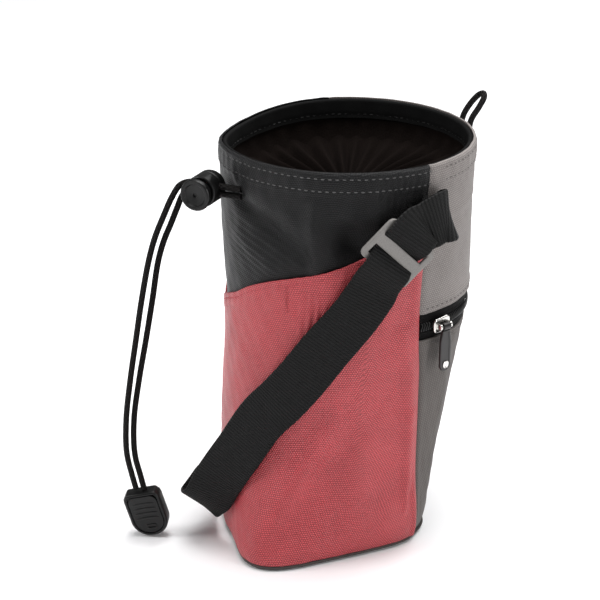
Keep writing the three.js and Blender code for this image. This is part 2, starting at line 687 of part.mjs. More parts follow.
// A round cord along its route
function cordTube(curve, steps, sides) {
  const shape = new THREE.Shape();
  for (let i = 0; i < sides; i += 1) {
    const turn = (2 * Math.PI * i) / sides;
    const corner = [(Math.cos(turn) * CORD_DIAMETER) / 2, (Math.sin(turn) * CORD_DIAMETER) / 2];
    if (i === 0) shape.moveTo(...corner);
    else shape.lineTo(...corner);
  }
  shape.closePath();
  return new THREE.ExtrudeGeometry(shape, { extrudePath: curve, steps, bevelEnabled: false });
}

const route = (points) => new THREE.CatmullRomCurve3(
  points.map((p) => new THREE.Vector3(...p)),
  false,
  'centripetal',
);
addPiece('draw_cord_a', cordTube(route(CORD_A_POINTS), 32, 8), WEBBING, 0.85);
addPiece('draw_cord_b', cordTube(route(CORD_B_POINTS), 32, 8), WEBBING, 0.85);

// Hang loop at the back of the rim: two legs down the outside of the wall, leaning out above it
function loopRoute() {
  const half = LOOP_WIDTH / 2;
  const wall = wallPoint(180, BODY_HEIGHT, GAP + CORD_DIAMETER / 2);
  const leg = (side) => [
    new THREE.Vector3(side * half, wall.y, BODY_HEIGHT - LOOP_LEG),
    new THREE.Vector3(side * half, wall.y, BODY_HEIGHT - LOOP_LEG * 0.4),
    new THREE.Vector3(side * half, wall.y + LOOP_LEAN * 0.1, BODY_HEIGHT),
    new THREE.Vector3(side * half, wall.y + LOOP_LEAN * 0.55, BODY_HEIGHT + LOOP_RISE * 0.55),
  ];
  const crown = [-1, 0, 1].map((side) => new THREE.Vector3(
    side * half * 0.62,
    wall.y + LOOP_LEAN * (side === 0 ? 1 : 0.9),
    BODY_HEIGHT + LOOP_RISE * (side === 0 ? 1 : 0.9),
  ));
  return new THREE.CatmullRomCurve3([...leg(-1), ...crown, ...leg(1).reverse()], false, 'centripetal');
}

addPiece('hang_loop', cordTube(loopRoute(), 20, 8), WEBBING, 0.85);

// Cord lock: a barrel with a cross slot, and the spring button that pinches the cords in it
function turned(profile, sides) {
  const geometry = new THREE.LatheGeometry(profile.map(([r, a]) => new THREE.Vector2(r, a)), sides);
  geometry.deleteAttribute('uv');
  geometry.deleteAttribute('normal');
  const up = new THREE.Vector3(0, 0, 1);
  const frame = new THREE.Matrix4().makeBasis(up.clone().cross(lockAxis), lockAxis, up);
  const merged = mergeVertices(geometry, 1e-4).applyMatrix4(frame.setPosition(lockCentre));
  const index = Array.from(merged.index.array);
  const kept = [];
  for (let i = 0; i < index.length; i += 3) {
    const [a, b, c] = index.slice(i, i + 3);
    if (a !== b && b !== c && a !== c) kept.push(a, b, c);
  }
  return orient(Array.from(merged.attributes.position.array), kept);
}

const lockRadius = LOCK_DIAMETER / 2;
const boreRadius = lockRadius - LOCK_WALL;
const halfLock = LOCK_LENGTH / 2;
const barrel = turned([[0, -halfLock], [lockRadius - 1.2, -halfLock], [lockRadius, -halfLock + 1.2],
  [lockRadius, halfLock - 0.5], [lockRadius - 0.5, halfLock], [boreRadius, halfLock],
  [boreRadius, -halfLock + LOCK_WALL], [0, -halfLock + LOCK_WALL]], 16);
addPiece('cord_lock_barrel', cut(barrel, cordSlot(LOCK_DIAMETER * 1.5, lockCentre)), BLACK, 0.45);

const stemRadius = boreRadius - PIN_CLEARANCE;
const stemFoot = -halfLock + LOCK_WALL + BUTTON_TRAVEL + GAP;
const capFoot = halfLock + BUTTON_TRAVEL + GAP;
const capTop = capFoot + BUTTON_CAP;
const button = turned([[0, stemFoot], [stemRadius, stemFoot], [stemRadius, capFoot],
  [lockRadius - 0.7, capFoot], [lockRadius, capFoot + 0.7], [lockRadius, capTop - 0.6],
  [lockRadius - 0.6, capTop],
  [lockRadius - 2.2, capTop], [lockRadius - 3, capTop - BUTTON_DIMPLE], [1.2, capTop - BUTTON_DIMPLE],
  [0.7, capTop - BUTTON_DIMPLE * 1.8], [0, capTop - BUTTON_DIMPLE * 1.8]], 16);
const stemSlotCentre = lockCentre.clone().addScaledVector(lockAxis, BUTTON_TRAVEL / 2);
addPiece(
  'cord_lock_button',
  cut(button, cordSlot(LOCK_DIAMETER * 1.5, stemSlotCentre, cordHole + BUTTON_TRAVEL)),
  BLACK,
  0.4,
);

// Clip that joins the two cord ends: a body with a recessed face, and the ribbed lid in it
function clipFrame() {
  const up = new THREE.Vector3().fromArray(CLIP_UP).normalize();
  const face = new THREE.Vector3(Math.sin(rad(CLIP_FACE_YAW)), -Math.cos(rad(CLIP_FACE_YAW)), 0);
  face.addScaledVector(up, -face.dot(up)).normalize();
  return new THREE.Matrix4().makeBasis(up.clone().cross(face), up, face)
    .setPosition(new THREE.Vector3().fromArray(CLIP_FOOT));
}

function clipOutline(inset, topInset = inset) {
  const shape = new THREE.Shape();
  const half = CLIP_WIDTH / 2 - inset;
  const top = CLIP_LENGTH - topInset;
  const bottomRadius = half * 0.78;
  shape.moveTo(-half + 2, top);
  shape.lineTo(-half, top - 4);
  shape.lineTo(-half, inset + bottomRadius);
  shape.absarc(-half + bottomRadius, inset + bottomRadius, bottomRadius, Math.PI, 1.5 * Math.PI, false);
  shape.lineTo(half - bottomRadius, inset);
  shape.absarc(half - bottomRadius, inset + bottomRadius, bottomRadius, -Math.PI / 2, 0, false);
  shape.lineTo(half, top - 4);
  shape.lineTo(half - 2, top);
  shape.closePath();
  return shape;
}

const clipPlace = clipFrame();
const lidRecess = CLIP_LID + GAP;
const clipBlock = plate(clipOutline(0), CLIP_THICKNESS, 5);
const clipPocket = plate(clipOutline(CLIP_RIM - GAP), 2 * lidRecess, 5).translate(0, 0, CLIP_THICKNESS / 2);
addPiece('cord_end_body', cut(clipBlock, clipPocket).applyMatrix4(clipPlace), BLACK, 0.5);

function lidGeometry() {
  const face = plate(clipOutline(CLIP_RIM), CLIP_LID, 5);
  const hole = roundedRectangle(CLIP_WINDOW_WIDTH, CLIP_WINDOW_HEIGHT, CLIP_WINDOW_CORNER);
  const window = plate(hole, 4 * CLIP_LID, 2).translate(CLIP_WINDOW_SHIFT, CLIP_RIM + CLIP_WINDOW_FOOT, 0);
  const ribs = [0.42, 0.55, 0.68, 0.81].map((share) => {
    const ribLength = CLIP_WIDTH - 2 * (CLIP_RIM + CLIP_RIB_MARGIN);
    const rib = new THREE.BoxGeometry(ribLength, CLIP_RIB_WIDTH, 2 * CLIP_RIB_RISE);
    return rib.translate(0, CLIP_LENGTH * share, CLIP_LID / 2);
  });
  const ribbed = join(face, ...ribs);
  return cut(ribbed, window).translate(0, 0, CLIP_THICKNESS / 2 - lidRecess + GAP + CLIP_LID / 2);
}

addPiece('cord_end_lid', lidGeometry().applyMatrix4(clipPlace), BLACK, 0.55);

// Zip slider on the tape near the right seam, and the pull that hangs from its bar
function zipFrame() {
  const seat = wallPoint(ZIP_SLIDER_ANGLE, ZIP_HEIGHT, ZIP_RIDGE + GAP);
  const normal = faceNormal(ZIP_SLIDER_ANGLE, ZIP_HEIGHT).setZ(0).normalize();
  const up = new THREE.Vector3(0, 0, 1);
  return new THREE.Matrix4().makeBasis(up.clone().cross(normal), up, normal).setPosition(seat);
}

const zipPlace = zipFrame();
const barHeight = ZIP_SLIDER_THICKNESS + KNUCKLE_RADIUS + PIN_CLEARANCE;

// A cylinder lying along the zip, at the height of the slider's bar.
function zipRod(radius, length, sides) {
  const rod = new THREE.CylinderGeometry(radius, radius, length, sides);
  return rod.rotateZ(Math.PI / 2).translate(0, 0, barHeight);
}

function zipSliderGeometry() {
  const body = plate(roundedRectangle(ZIP_SLIDER_LENGTH, ZIP_SLIDER_WIDTH, 2), ZIP_SLIDER_THICKNESS)
    .translate(0, 0, ZIP_SLIDER_THICKNESS / 2);
  const footPlace = KNUCKLE_LENGTH / 2 + GAP + FOOT_WIDTH / 2;
  const footHeight = barHeight + BAR_RADIUS;
  const feet = [-1, 1].map((side) => new THREE.BoxGeometry(FOOT_WIDTH, 2.6, footHeight - 0.4)
    .translate(side * footPlace, 0, footHeight / 2 + 0.2));
  return join(body, ...feet, zipRod(BAR_RADIUS, 2 * footPlace, 10));
}

addPiece('zipper_slider', zipSliderGeometry().applyMatrix4(zipPlace), STEEL, 0.3, 0.95);

function zipPullGeometry() {
  const leaf = roundedRectangle(PULL_WIDTH, PULL_LENGTH, PULL_WIDTH * 0.42);
  const inset = new THREE.Path();
  inset.absarc(0, -PULL_LENGTH / 2 + PULL_WIDTH / 2, PULL_INSET_RADIUS, 0, 2 * Math.PI);
  const blade = plate(leaf, PULL_THICKNESS).translate(0, -PULL_LENGTH / 2, barHeight);
  const dish = plate(new THREE.Shape(inset.getPoints(5).slice(0, -1)), 1, 5)
    .translate(0, -PULL_LENGTH / 2, barHeight + PULL_THICKNESS / 2 + 0.1);
  const shoulder = 2 * (FOOT_WIDTH + GAP) + KNUCKLE_LENGTH;
  const notchHeight = 2 * KNUCKLE_RADIUS + 2 * GAP;
  const clearance = new THREE.BoxGeometry(shoulder + PULL_WIDTH, notchHeight, 4 * KNUCKLE_RADIUS)
    .translate(0, 0, barHeight);
  const knuckle = zipRod(KNUCKLE_RADIUS, KNUCKLE_LENGTH, 14);
  const neck = new THREE.BoxGeometry(KNUCKLE_LENGTH, 2 * KNUCKLE_RADIUS, PULL_THICKNESS)
    .translate(0, -KNUCKLE_RADIUS, barHeight);
  const bore = zipRod(BAR_RADIUS + PIN_CLEARANCE, 2 * KNUCKLE_LENGTH, 14);
  return cut(join(cut(blade, clearance, dish), knuckle, neck), bore);
}

addPiece('zipper_pull', zipPullGeometry().applyMatrix4(zipPlace), STEEL, 0.4, 0.8);

export default bag;
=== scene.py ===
"""Climbing chalk bag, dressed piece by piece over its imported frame.

Lengths in the classes are millimetres and turns are degrees. Angles run round the bag from its front
(-Y) by its right side (+X) to its back (+Y), and heights run up from the underside of the base.
Meshes are written in metres.
"""

import logging
from dataclasses import dataclass, field
from enum import Enum
from typing import Optional, Sequence

import bpy
import numpy as np
from numpy.typing import NDArray
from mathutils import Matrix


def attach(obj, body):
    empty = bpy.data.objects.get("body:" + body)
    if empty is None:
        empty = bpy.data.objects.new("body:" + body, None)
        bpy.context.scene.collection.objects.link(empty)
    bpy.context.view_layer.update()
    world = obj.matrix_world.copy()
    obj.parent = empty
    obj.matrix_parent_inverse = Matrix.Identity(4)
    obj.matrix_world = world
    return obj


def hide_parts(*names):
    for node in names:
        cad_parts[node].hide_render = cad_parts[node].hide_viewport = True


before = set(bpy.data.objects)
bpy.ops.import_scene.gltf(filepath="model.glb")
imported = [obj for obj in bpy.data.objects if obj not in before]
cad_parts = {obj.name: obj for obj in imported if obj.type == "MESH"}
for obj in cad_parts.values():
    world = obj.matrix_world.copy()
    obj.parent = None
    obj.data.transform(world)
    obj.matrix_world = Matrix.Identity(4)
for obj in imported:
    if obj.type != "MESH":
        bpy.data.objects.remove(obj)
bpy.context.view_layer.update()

Array = NDArray[np.float64]
Node = bpy.types.Node
Socket = bpy.types.NodeSocket
Colour = tuple[float, float, float]

MM = 0.001
MOUTH_RADIUS = 62.0
MOUTH_DEGREE = np.pi * MOUTH_RADIUS / 180.0
CRISP = 35.0
LOG = logging.getLogger("chalk_bag")


class Body(Enum):
    """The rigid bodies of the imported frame."""

    BAG = "bag"
    PULL = "pull"
    BUTTON = "lock_button"


class Slot(Enum):
    """The record's material slots."""

    BLACK_CLOTH = "black_cloth"
    RED_CLOTH = "red_cloth"
    GREY_CLOTH = "grey_cloth"
    FLEECE = "fleece"
    WEBBING = "webbing"
    CORD = "cord"
    SLIDER_METAL = "slider_metal"
    ZIP_METAL = "zip_metal"
    BLACK_PLASTIC = "black_plastic"


# ---- numbers ----


def smooth(low: float, high: float, at: Array) -> Array:
    """Ease from 0 at low to 1 at high: 3 t^2 - 2 t^3 of the clamped share t between them."""
    share = np.clip((at - low) / (high - low), 0.0, 1.0)
    return share * share * (3.0 - 2.0 * share)


def bell(at: Array, centre: float, width: float) -> Array:
    """Bell curve: e to the minus square of the distance from centre in widths."""
    return np.exp(-(((at - centre) / width) ** 2))


def unit(vectors: Array) -> Array:
    """Vectors divided by their lengths."""
    return vectors / np.maximum(np.linalg.norm(vectors, axis=-1, keepdims=True), 1e-12)


def signed_power(values: Array, exponent: Array) -> Array:
    """The power of the size of each value, with the value's sign."""
    return np.sign(values) * np.abs(values) ** exponent


@dataclass(frozen=True)
class Table:
    """Rows of chosen values under named columns, sorted by the first column."""

    columns: tuple[str, ...]
    rows: tuple[tuple[float, ...], ...]

    def read(self, column: str, at: Array) -> Array:
        """One column as a smooth curve through its rows.

        The slope at a row is the harmonic mean of the slopes beside it, or zero where they differ in
        sign. Between two rows runs the cubic with those end slopes, and beyond the ends the end value.

        Args:
            column: Name of the column.
            at: Places along the first column.

        Returns:
            The column's value at each place.
        """
        data = np.array(self.rows, dtype=float)
        places, values = data[:, 0], data[:, self.columns.index(column)]
        step = np.diff(values) / np.diff(places)
        product = step[:-1] * step[1:]
        total = np.where(product > 0.0, step[:-1] + step[1:], 1.0)
        inner = np.where(product > 0.0, 2.0 * product / total, 0.0)
        slopes = np.concatenate([step[:1], inner, step[-1:]])
        at = np.clip(np.asarray(at, dtype=float), places[0], places[-1])
        i = np.clip(np.searchsorted(places, at, side="right") - 1, 0, len(places) - 2)
        span, rise = places[i + 1] - places[i], values[i + 1] - values[i]
        t = (at - places[i]) / span
        bend = (1.0 - t) * (slopes[i] * span - rise) + t * (rise - slopes[i + 1] * span)
        return values[i] + t * rise + t * (1.0 - t) * bend


def spline(points: Array, share: Array) -> Array:
    """Centripetal Catmull-Rom curve through points, by share of its number of spans.

    The knots are spaced by the square root of the chord lengths, and each span is the cubic with the
    tangents that these knots give.

    Args:
        points: Points that the curve passes through, one row each.
        share: Places from 0 at the first point to 1 at the last.

    Returns:
        The curve's points.
    """
    points = np.asarray(points, dtype=float)
    count = len(points)
    ends = np.vstack([2.0 * points[0] - points[1], points, 2.0 * points[-1] - points[-2]])
    place = np.clip(np.asarray(share, dtype=float), 0.0, 1.0) * (count - 1)
    i = np.clip(np.floor(place).astype(int), 0, count - 2)
    w = (place - i)[:, None]
    p0, p1, p2, p3 = ends[i], ends[i + 1], ends[i + 2], ends[i + 3]

    def knot(a: Array, b: Array) -> Array:
        """Square root of the distance between two rows of points."""
        return np.maximum(np.sqrt(np.linalg.norm(b - a, axis=1, keepdims=True)), 1e-4)

    k0, k1, k2 = knot(p0, p1), knot(p1, p2), knot(p2, p3)
    t1 = ((p1 - p0) / k0 - (p2 - p0) / (k0 + k1) + (p2 - p1) / k1) * k1
    t2 = ((p2 - p1) / k1 - (p3 - p1) / (k1 + k2) + (p3 - p2) / k2) * k1
    bend, turn = -3.0 * p1 + 3.0 * p2 - 2.0 * t1 - t2, 2.0 * p1 - 2.0 * p2 + t1 + t2
    return p1 + t1 * w + bend * w**2 + turn * w**3


def along(line: Array) -> Array:
    """Distance travelled along a row of points, from 0 at the first."""
    return np.concatenate([[0.0], np.cumsum(np.linalg.norm(np.diff(line, axis=0), axis=1))])


def follow(places: Array, travelled: Array, rows: Array) -> Array:
    """Points read off rows of points, straight between them, at distances travelled."""
    return np.stack([np.interp(places, travelled, rows[:, axis]) for axis in range(3)], axis=-1)


def evenly(line: Array, count: int) -> Array:
    """A row of points laid out again at even distances."""
    travelled = along(line)
    return follow(np.linspace(0.0, travelled[-1], count), travelled, line)


def evenly_picked(line: Array, count: int) -> NDArray[np.int64]:
    """Indices of points at about even distances along a line.

    Args:
        line: Points of the line.
        count: How many are wanted.

    Returns:
        The indices, the ends among them.
    """
    travelled = along(line)
    index = np.searchsorted(travelled, np.linspace(0.0, travelled[-1], count))
    return np.unique(index.clip(0, len(line) - 1))


def travelled_over(grid: Array, axis: int) -> Array:
    """Distance travelled over a grid of points along one of its axes, from 0 at its first line."""
    first = np.take(grid, [0], axis=axis)
    return np.cumsum(np.linalg.norm(np.diff(grid, axis=axis, prepend=first), axis=2), axis=axis)


def carried(line: Array, ring: Array, side: Array, back: Array) -> Array:
    """A ring round each point of a line: its two numbers are lengths along two directions."""
    return line[..., None, :] + ring[..., :1] * side[..., None, :] + ring[..., 1:] * back[..., None, :]


def carried_frames(line: Array, first: Array) -> tuple[Array, Array, Array]:
    """Frames carried along a line with as little twist as they can have.

    Each frame is the last one with its part along the new tangent taken out.

    Args:
        line: Points of the line.
        first: Side direction wanted at its start.

    Returns:
        Tangents, side directions and the directions square to both.
    """
    tangents = unit(np.gradient(line, axis=0))
    sides = np.empty_like(line)
    side = np.asarray(first, dtype=float)
    for i, tangent in enumerate(tangents):
        side = unit(side - tangent * float(side @ tangent))
        sides[i] = side
    return tangents, sides, np.cross(tangents, sides)


# ---- meshes ----


@dataclass
class Form:
    """Points, faces and a flat place on the cloth for each corner of each face."""

    points: Array
    quads: NDArray[np.int64]
    quad_uv: Array
    triangles: NDArray[np.int64] = field(default_factory=lambda: np.zeros((0, 3), dtype=np.int64))
    triangle_uv: Array = field(default_factory=lambda: np.zeros((0, 3, 2)))

    def outward(self) -> "Form":
        """The same closed form with all faces pointing out: turned over if its volume is negative."""
        a, b, c, d = (self.points[self.quads[:, k]] for k in range(4))
        volume = np.sum(a * np.cross(b, c)) + np.sum(a * np.cross(c, d))
        if len(self.triangles):
            e, f, g = (self.points[self.triangles[:, k]] for k in range(3))
            volume += np.sum(e * np.cross(f, g))
        if volume >= 0.0:
            return self
        return Form(
            self.points, self.quads[:, ::-1], self.quad_uv[:, ::-1], self.triangles[:, ::-1],
            self.triangle_uv[:, ::-1],
        )

    @staticmethod
    def together(forms: Sequence["Form"]) -> "Form":
        """Several closed forms as one mesh, each kept whole."""
        shifts = np.cumsum([0] + [len(f.points) for f in forms[:-1]])
        return Form(
            np.concatenate([f.points for f in forms]),
            np.concatenate([f.quads + s for f, s in zip(forms, shifts)]),
            np.concatenate([f.quad_uv for f in forms]),
            np.concatenate([f.triangles + s for f, s in zip(forms, shifts)]),
            np.concatenate([f.triangle_uv for f in forms]),
        )


def grid_quads(rows: int, columns: int, wrap_rows: bool, wrap_columns: bool) -> NDArray[np.int64]:
    """Faces of a grid of points stored row by row: each joins a point to its next row and column."""
    i, j = np.meshgrid(
        np.arange(rows if wrap_rows else rows - 1), np.arange(columns if wrap_columns else columns - 1),
        indexing="ij",
    )
    below, beside = (i + 1) % rows, (j + 1) % columns
    corners = [i * columns + j, i * columns + beside, below * columns + beside, below * columns + j]
    return np.stack([c.ravel() for c in corners], axis=1)


def grid_corners(uv: Array) -> Array:
    """Flat places of the corners of each face of a grid, from a grid one longer where it wraps."""
    corners = [uv[:-1, :-1], uv[:-1, 1:], uv[1:, 1:], uv[1:, :-1]]
    return np.stack([c.reshape(-1, 2) for c in corners], axis=1)


def two_faced(outer: Array, inner: Array, uv: Array, ring: bool = False) -> Form:
    """A closed sheet: an outer and an inner grid joined round their edges.

    Args:
        outer: Grid of points of the outer face, (columns, rows, 3).
        inner: Grid of the same size for the inner face.
        uv: Flat places, (columns, rows, 2), one column more for a ring.
        ring: Whether the last column joins the first.

    Returns:
        The closed form.
    """
    columns, rows = outer.shape[:2]
    size = columns * rows
    face = grid_quads(columns, rows, ring, False)
    face_uv = grid_corners(uv)
    index = np.arange(size).reshape(columns, rows)
    if ring:
        index = np.vstack([index, index[:1]])

    def strip(edge: NDArray[np.int64], place: Array) -> tuple[NDArray[np.int64], Array]:
        """Faces that join one edge of the outer face to the same edge of the inner face."""
        a, b = edge[:-1], edge[1:]
        quads = np.stack([a, b, b + size, a + size], axis=1)
        places = np.stack([place[:-1], place[1:], place[1:], place[:-1]], axis=1)
        return quads, places

    edges = [strip(index[:, 0], uv[:, 0]), strip(index[::-1, -1], uv[::-1, -1])]
    if not ring:
        edges += [strip(index[0, ::-1], uv[0, ::-1]), strip(index[-1], uv[-1])]
    quads = np.concatenate([face, face[:, ::-1] + size] + [e[0] for e in edges])
    quad_uv = np.concatenate([face_uv, face_uv[:, ::-1]] + [e[1] for e in edges])
    points = np.concatenate([outer.reshape(-1, 3), inner.reshape(-1, 3)])
    return Form(points, quads, quad_uv).outward()


def swept(rings: Array, uv: Optional[Array] = None, closed: bool = False) -> Form:
    """A closed solid through equal rings of points, its ends closed to their centres.

    Args:
        rings: Points, (rings, points round, 3).
        uv: Flat places, (rings, points round + 1, 2), one ring more where the sweep is closed.
        closed: Whether the last ring joins the first.

    Returns:
        The closed form.
    """
    count, sides = rings.shape[:2]
    if uv is None:
        turn = np.linspace(0.0, 1.0, sides + 1)
        travelled = np.linspace(0.0, 1.0, count + (1 if closed else 0))
        uv = np.stack(np.meshgrid(turn, travelled), axis=-1)
    quads = grid_quads(count, sides, closed, True)
    quad_uv = grid_corners(uv)
    points = rings.reshape(-1, 3)
    if closed:
        return Form(points, quads, quad_uv).outward()
    ends = np.stack([rings[0].mean(axis=0), rings[-1].mean(axis=0)])
    j = np.arange(sides)
    k = (j + 1) % sides
    first, last = len(points), len(points) + 1
    top = (count - 1) * sides
    triangles = np.concatenate(
        [
            np.stack([np.full(sides, first), k, j], axis=1),
            np.stack([np.full(sides, last), top + j, top + k], axis=1),
        ]
    )
    places = np.concatenate([uv[0, :-1], uv[-1, :-1]])
    triangle_uv = np.repeat(places[:, None, :], 3, axis=1)
    return Form(np.concatenate([points, ends]), quads, quad_uv, triangles, triangle_uv).outward()


def round_ring(sides: int, radius: float = 1.0) -> Array:
    """Points of a circle in the plane, (sides, 2)."""
    turn = np.arange(sides) * 2.0 * np.pi / sides
    return radius * np.stack([np.cos(turn), np.sin(turn)], axis=1)


def soft_ring(sides: int, width: float, height: float, power: float = 4.0) -> Array:
    """Points of a squared oval: the powers of its two shares of width and height add up to 1.

    Args:
        sides: How many points.
        width: Full width.
        height: Full height.
        power: 2 is an ellipse, and more is squarer.

    Returns:
        The points, (sides, 2).
    """
    turn = (np.arange(sides) + 0.5) * 2.0 * np.pi / sides
    shape = signed_power(np.stack([np.cos(turn), np.sin(turn)], axis=1), 2.0 / power)
    return shape * np.array([width / 2.0, height / 2.0])


def tube(line: Array, ring: Array, first: Array, closed: bool = False) -> Form:
    """A ring of points carried along a line.

    Args:
        line: Points of the line.
        ring: Points of the section, (sides, 2): the first number along the side direction.
        first: Side direction at the line's start.
        closed: Whether the line's end joins its start.

    Returns:
        The closed form, its flat places as turn round it and distance along it.
    """
    _, sides, backs = carried_frames(line, first)
    rings = carried(line, ring, sides, backs)
    travelled = along(np.vstack([line, line[:1]]) if closed else line)
    turn = np.linspace(0.0, 1.0, len(ring) + 1)
    uv = np.stack(np.meshgrid(turn, travelled), axis=-1)
    return swept(rings, uv, closed)


def turned(profile: Sequence[tuple[float, float]], centre: Array, axis: Array, sides: int) -> Form:
    """A solid of revolution.

    Args:
        profile: Radius and place along the axis, from end to end.
        centre: The place 0 of the axis.
        axis: Its direction.
        sides: Points round.

    Returns:
        The closed form.
    """
    data = np.array(profile, dtype=float)
    direction = unit(np.asarray(axis, dtype=float))
    up = np.array([0.0, 0.0, 1.0])
    side = unit(np.cross(up, direction)) if abs(direction[2]) < 0.9 else np.array([1.0, 0.0, 0.0])
    other = np.cross(direction, side)
    circle = round_ring(sides)
    spokes = circle[:, :1] * side + circle[:, 1:] * other
    rings = centre + data[:, 1, None, None] * direction + data[:, 0, None, None] * spokes[None]
    return swept(rings)


def plate(outline: Array, layers: Sequence[tuple[float, float]], place: Array) -> Form:
    """A flat piece built up of its outline, drawn in by each layer's inset and lifted to its height.

    Args:
        outline: Points of the outline in the piece's plane, in order, (points, 2).
        layers: Inset and height of each layer, from the underside up.
        place: Frame of the piece: its rows are the two directions of the plane, the direction out of
            it and the origin.

    Returns:
        The closed form.
    """
    ahead, behind = np.roll(outline, -1, axis=0), np.roll(outline, 1, axis=0)
    run = ahead - behind
    area = np.sum(outline[:, 0] * ahead[:, 1] - ahead[:, 0] * outline[:, 1])
    inward = np.stack([-run[:, 1], run[:, 0]], axis=1) * np.sign(area)
    inward /= np.linalg.norm(inward, axis=1, keepdims=True)
    flat = np.stack([outline + inward * inset for inset, _ in layers])
    heights = np.array([height for _, height in layers])[:, None]
    return swept(carried(place[3] + heights * place[2], flat, place[0], place[1]))


def rounded_layers(low: float, high: float, radius: float, steps: int = 4) -> list[tuple[float, float]]:
    """Layers of a plate whose two edges are rounded by quarter circles of the given radius."""
    turn = np.linspace(0.0, np.pi / 2.0, steps + 1)
    foot = [(radius * (1.0 - np.sin(t)), low + radius * (1.0 - np.cos(t))) for t in turn]
    top = [(radius * (1.0 - np.cos(t)), high - radius * (1.0 - np.sin(t))) for t in turn]
    return foot + top


def rounded_box(width: float, height: float, radius: float, steps: int = 5) -> Array:
    """Outline of a rectangle with rounded corners, centred, anticlockwise."""
    turn = np.linspace(0.0, np.pi / 2.0, steps + 1)
    corner = np.stack([np.cos(turn), np.sin(turn)], axis=1) * radius
    w, h = width / 2.0 - radius, height / 2.0 - radius
    quarters = []
    for k, (x, y) in enumerate([(w, h), (-w, h), (-w, -h), (w, -h)]):
        c, s = np.cos(k * np.pi / 2.0), np.sin(k * np.pi / 2.0)
        quarters.append(corner @ np.array([[c, s], [-s, c]]) + [x, y])
    return np.concatenate(quarters)


@dataclass
class Maker:
    """Puts forms into Blender as pieces of the bag."""

    made: list[str] = field(default_factory=list)

    def piece(
        self, name: str, form: Form, material: bpy.types.Material, body: Body = Body.BAG,
        slot: Optional[Slot] = None, stands_for: Sequence[str] = (), crisp: float = 45.0,
    ) -> bpy.types.Object:
        """Makes one object at the origin from a form, dressed and riding on its body.

        Args:
            name: The object's name.
            form: Its surface, in millimetres.
            material: Its finish.
            body: The body that it moves with.
            slot: The record's material slot for the piece; not used.
            stands_for: The frame's nodes that it replaces.
            crisp: Edges that turn more than this many degrees stay sharp.

        Returns:
            The object.
        """
        mesh = bpy.data.meshes.new(name)
        quads, triangles = form.quads, form.triangles
        loops = np.concatenate([quads.ravel(), triangles.ravel()]).astype(np.int32)
        totals = np.concatenate([np.full(len(quads), 4), np.full(len(triangles), 3)]).astype(np.int32)
        starts = np.concatenate([[0], np.cumsum(totals)[:-1]]).astype(np.int32)
        mesh.vertices.add(len(form.points))
        mesh.vertices.foreach_set("co", (form.points * MM).astype(np.float32).ravel())
        mesh.loops.add(len(loops))
        mesh.loops.foreach_set("vertex_index", loops)
        mesh.polygons.add(len(totals))
        mesh.polygons.foreach_set("loop_start", starts)
        mesh.polygons.foreach_set("loop_total", totals)
        mesh.update(calc_edges=True)
        layer = mesh.uv_layers.new(name="Lay")
        uv = np.concatenate([form.quad_uv.reshape(-1, 2), form.triangle_uv.reshape(-1, 2)])
        layer.data.foreach_set("uv", uv.astype(np.float32).ravel())
        mesh.polygons.foreach_set("use_smooth", np.ones(len(totals), dtype=bool))
        mesh.set_sharp_from_angle(angle=np.radians(crisp))
        mesh.materials.append(material)
        mesh.validate()
        obj = bpy.data.objects.new(name, mesh)
        bpy.context.scene.collection.objects.link(obj)
        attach(obj, body.value)
        if stands_for:
            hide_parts(*stands_for)
        self.made.append(name)
        LOG.info("%s: %d points, %d faces", name, len(form.points), len(totals))
        return obj


# ---- finishes ----


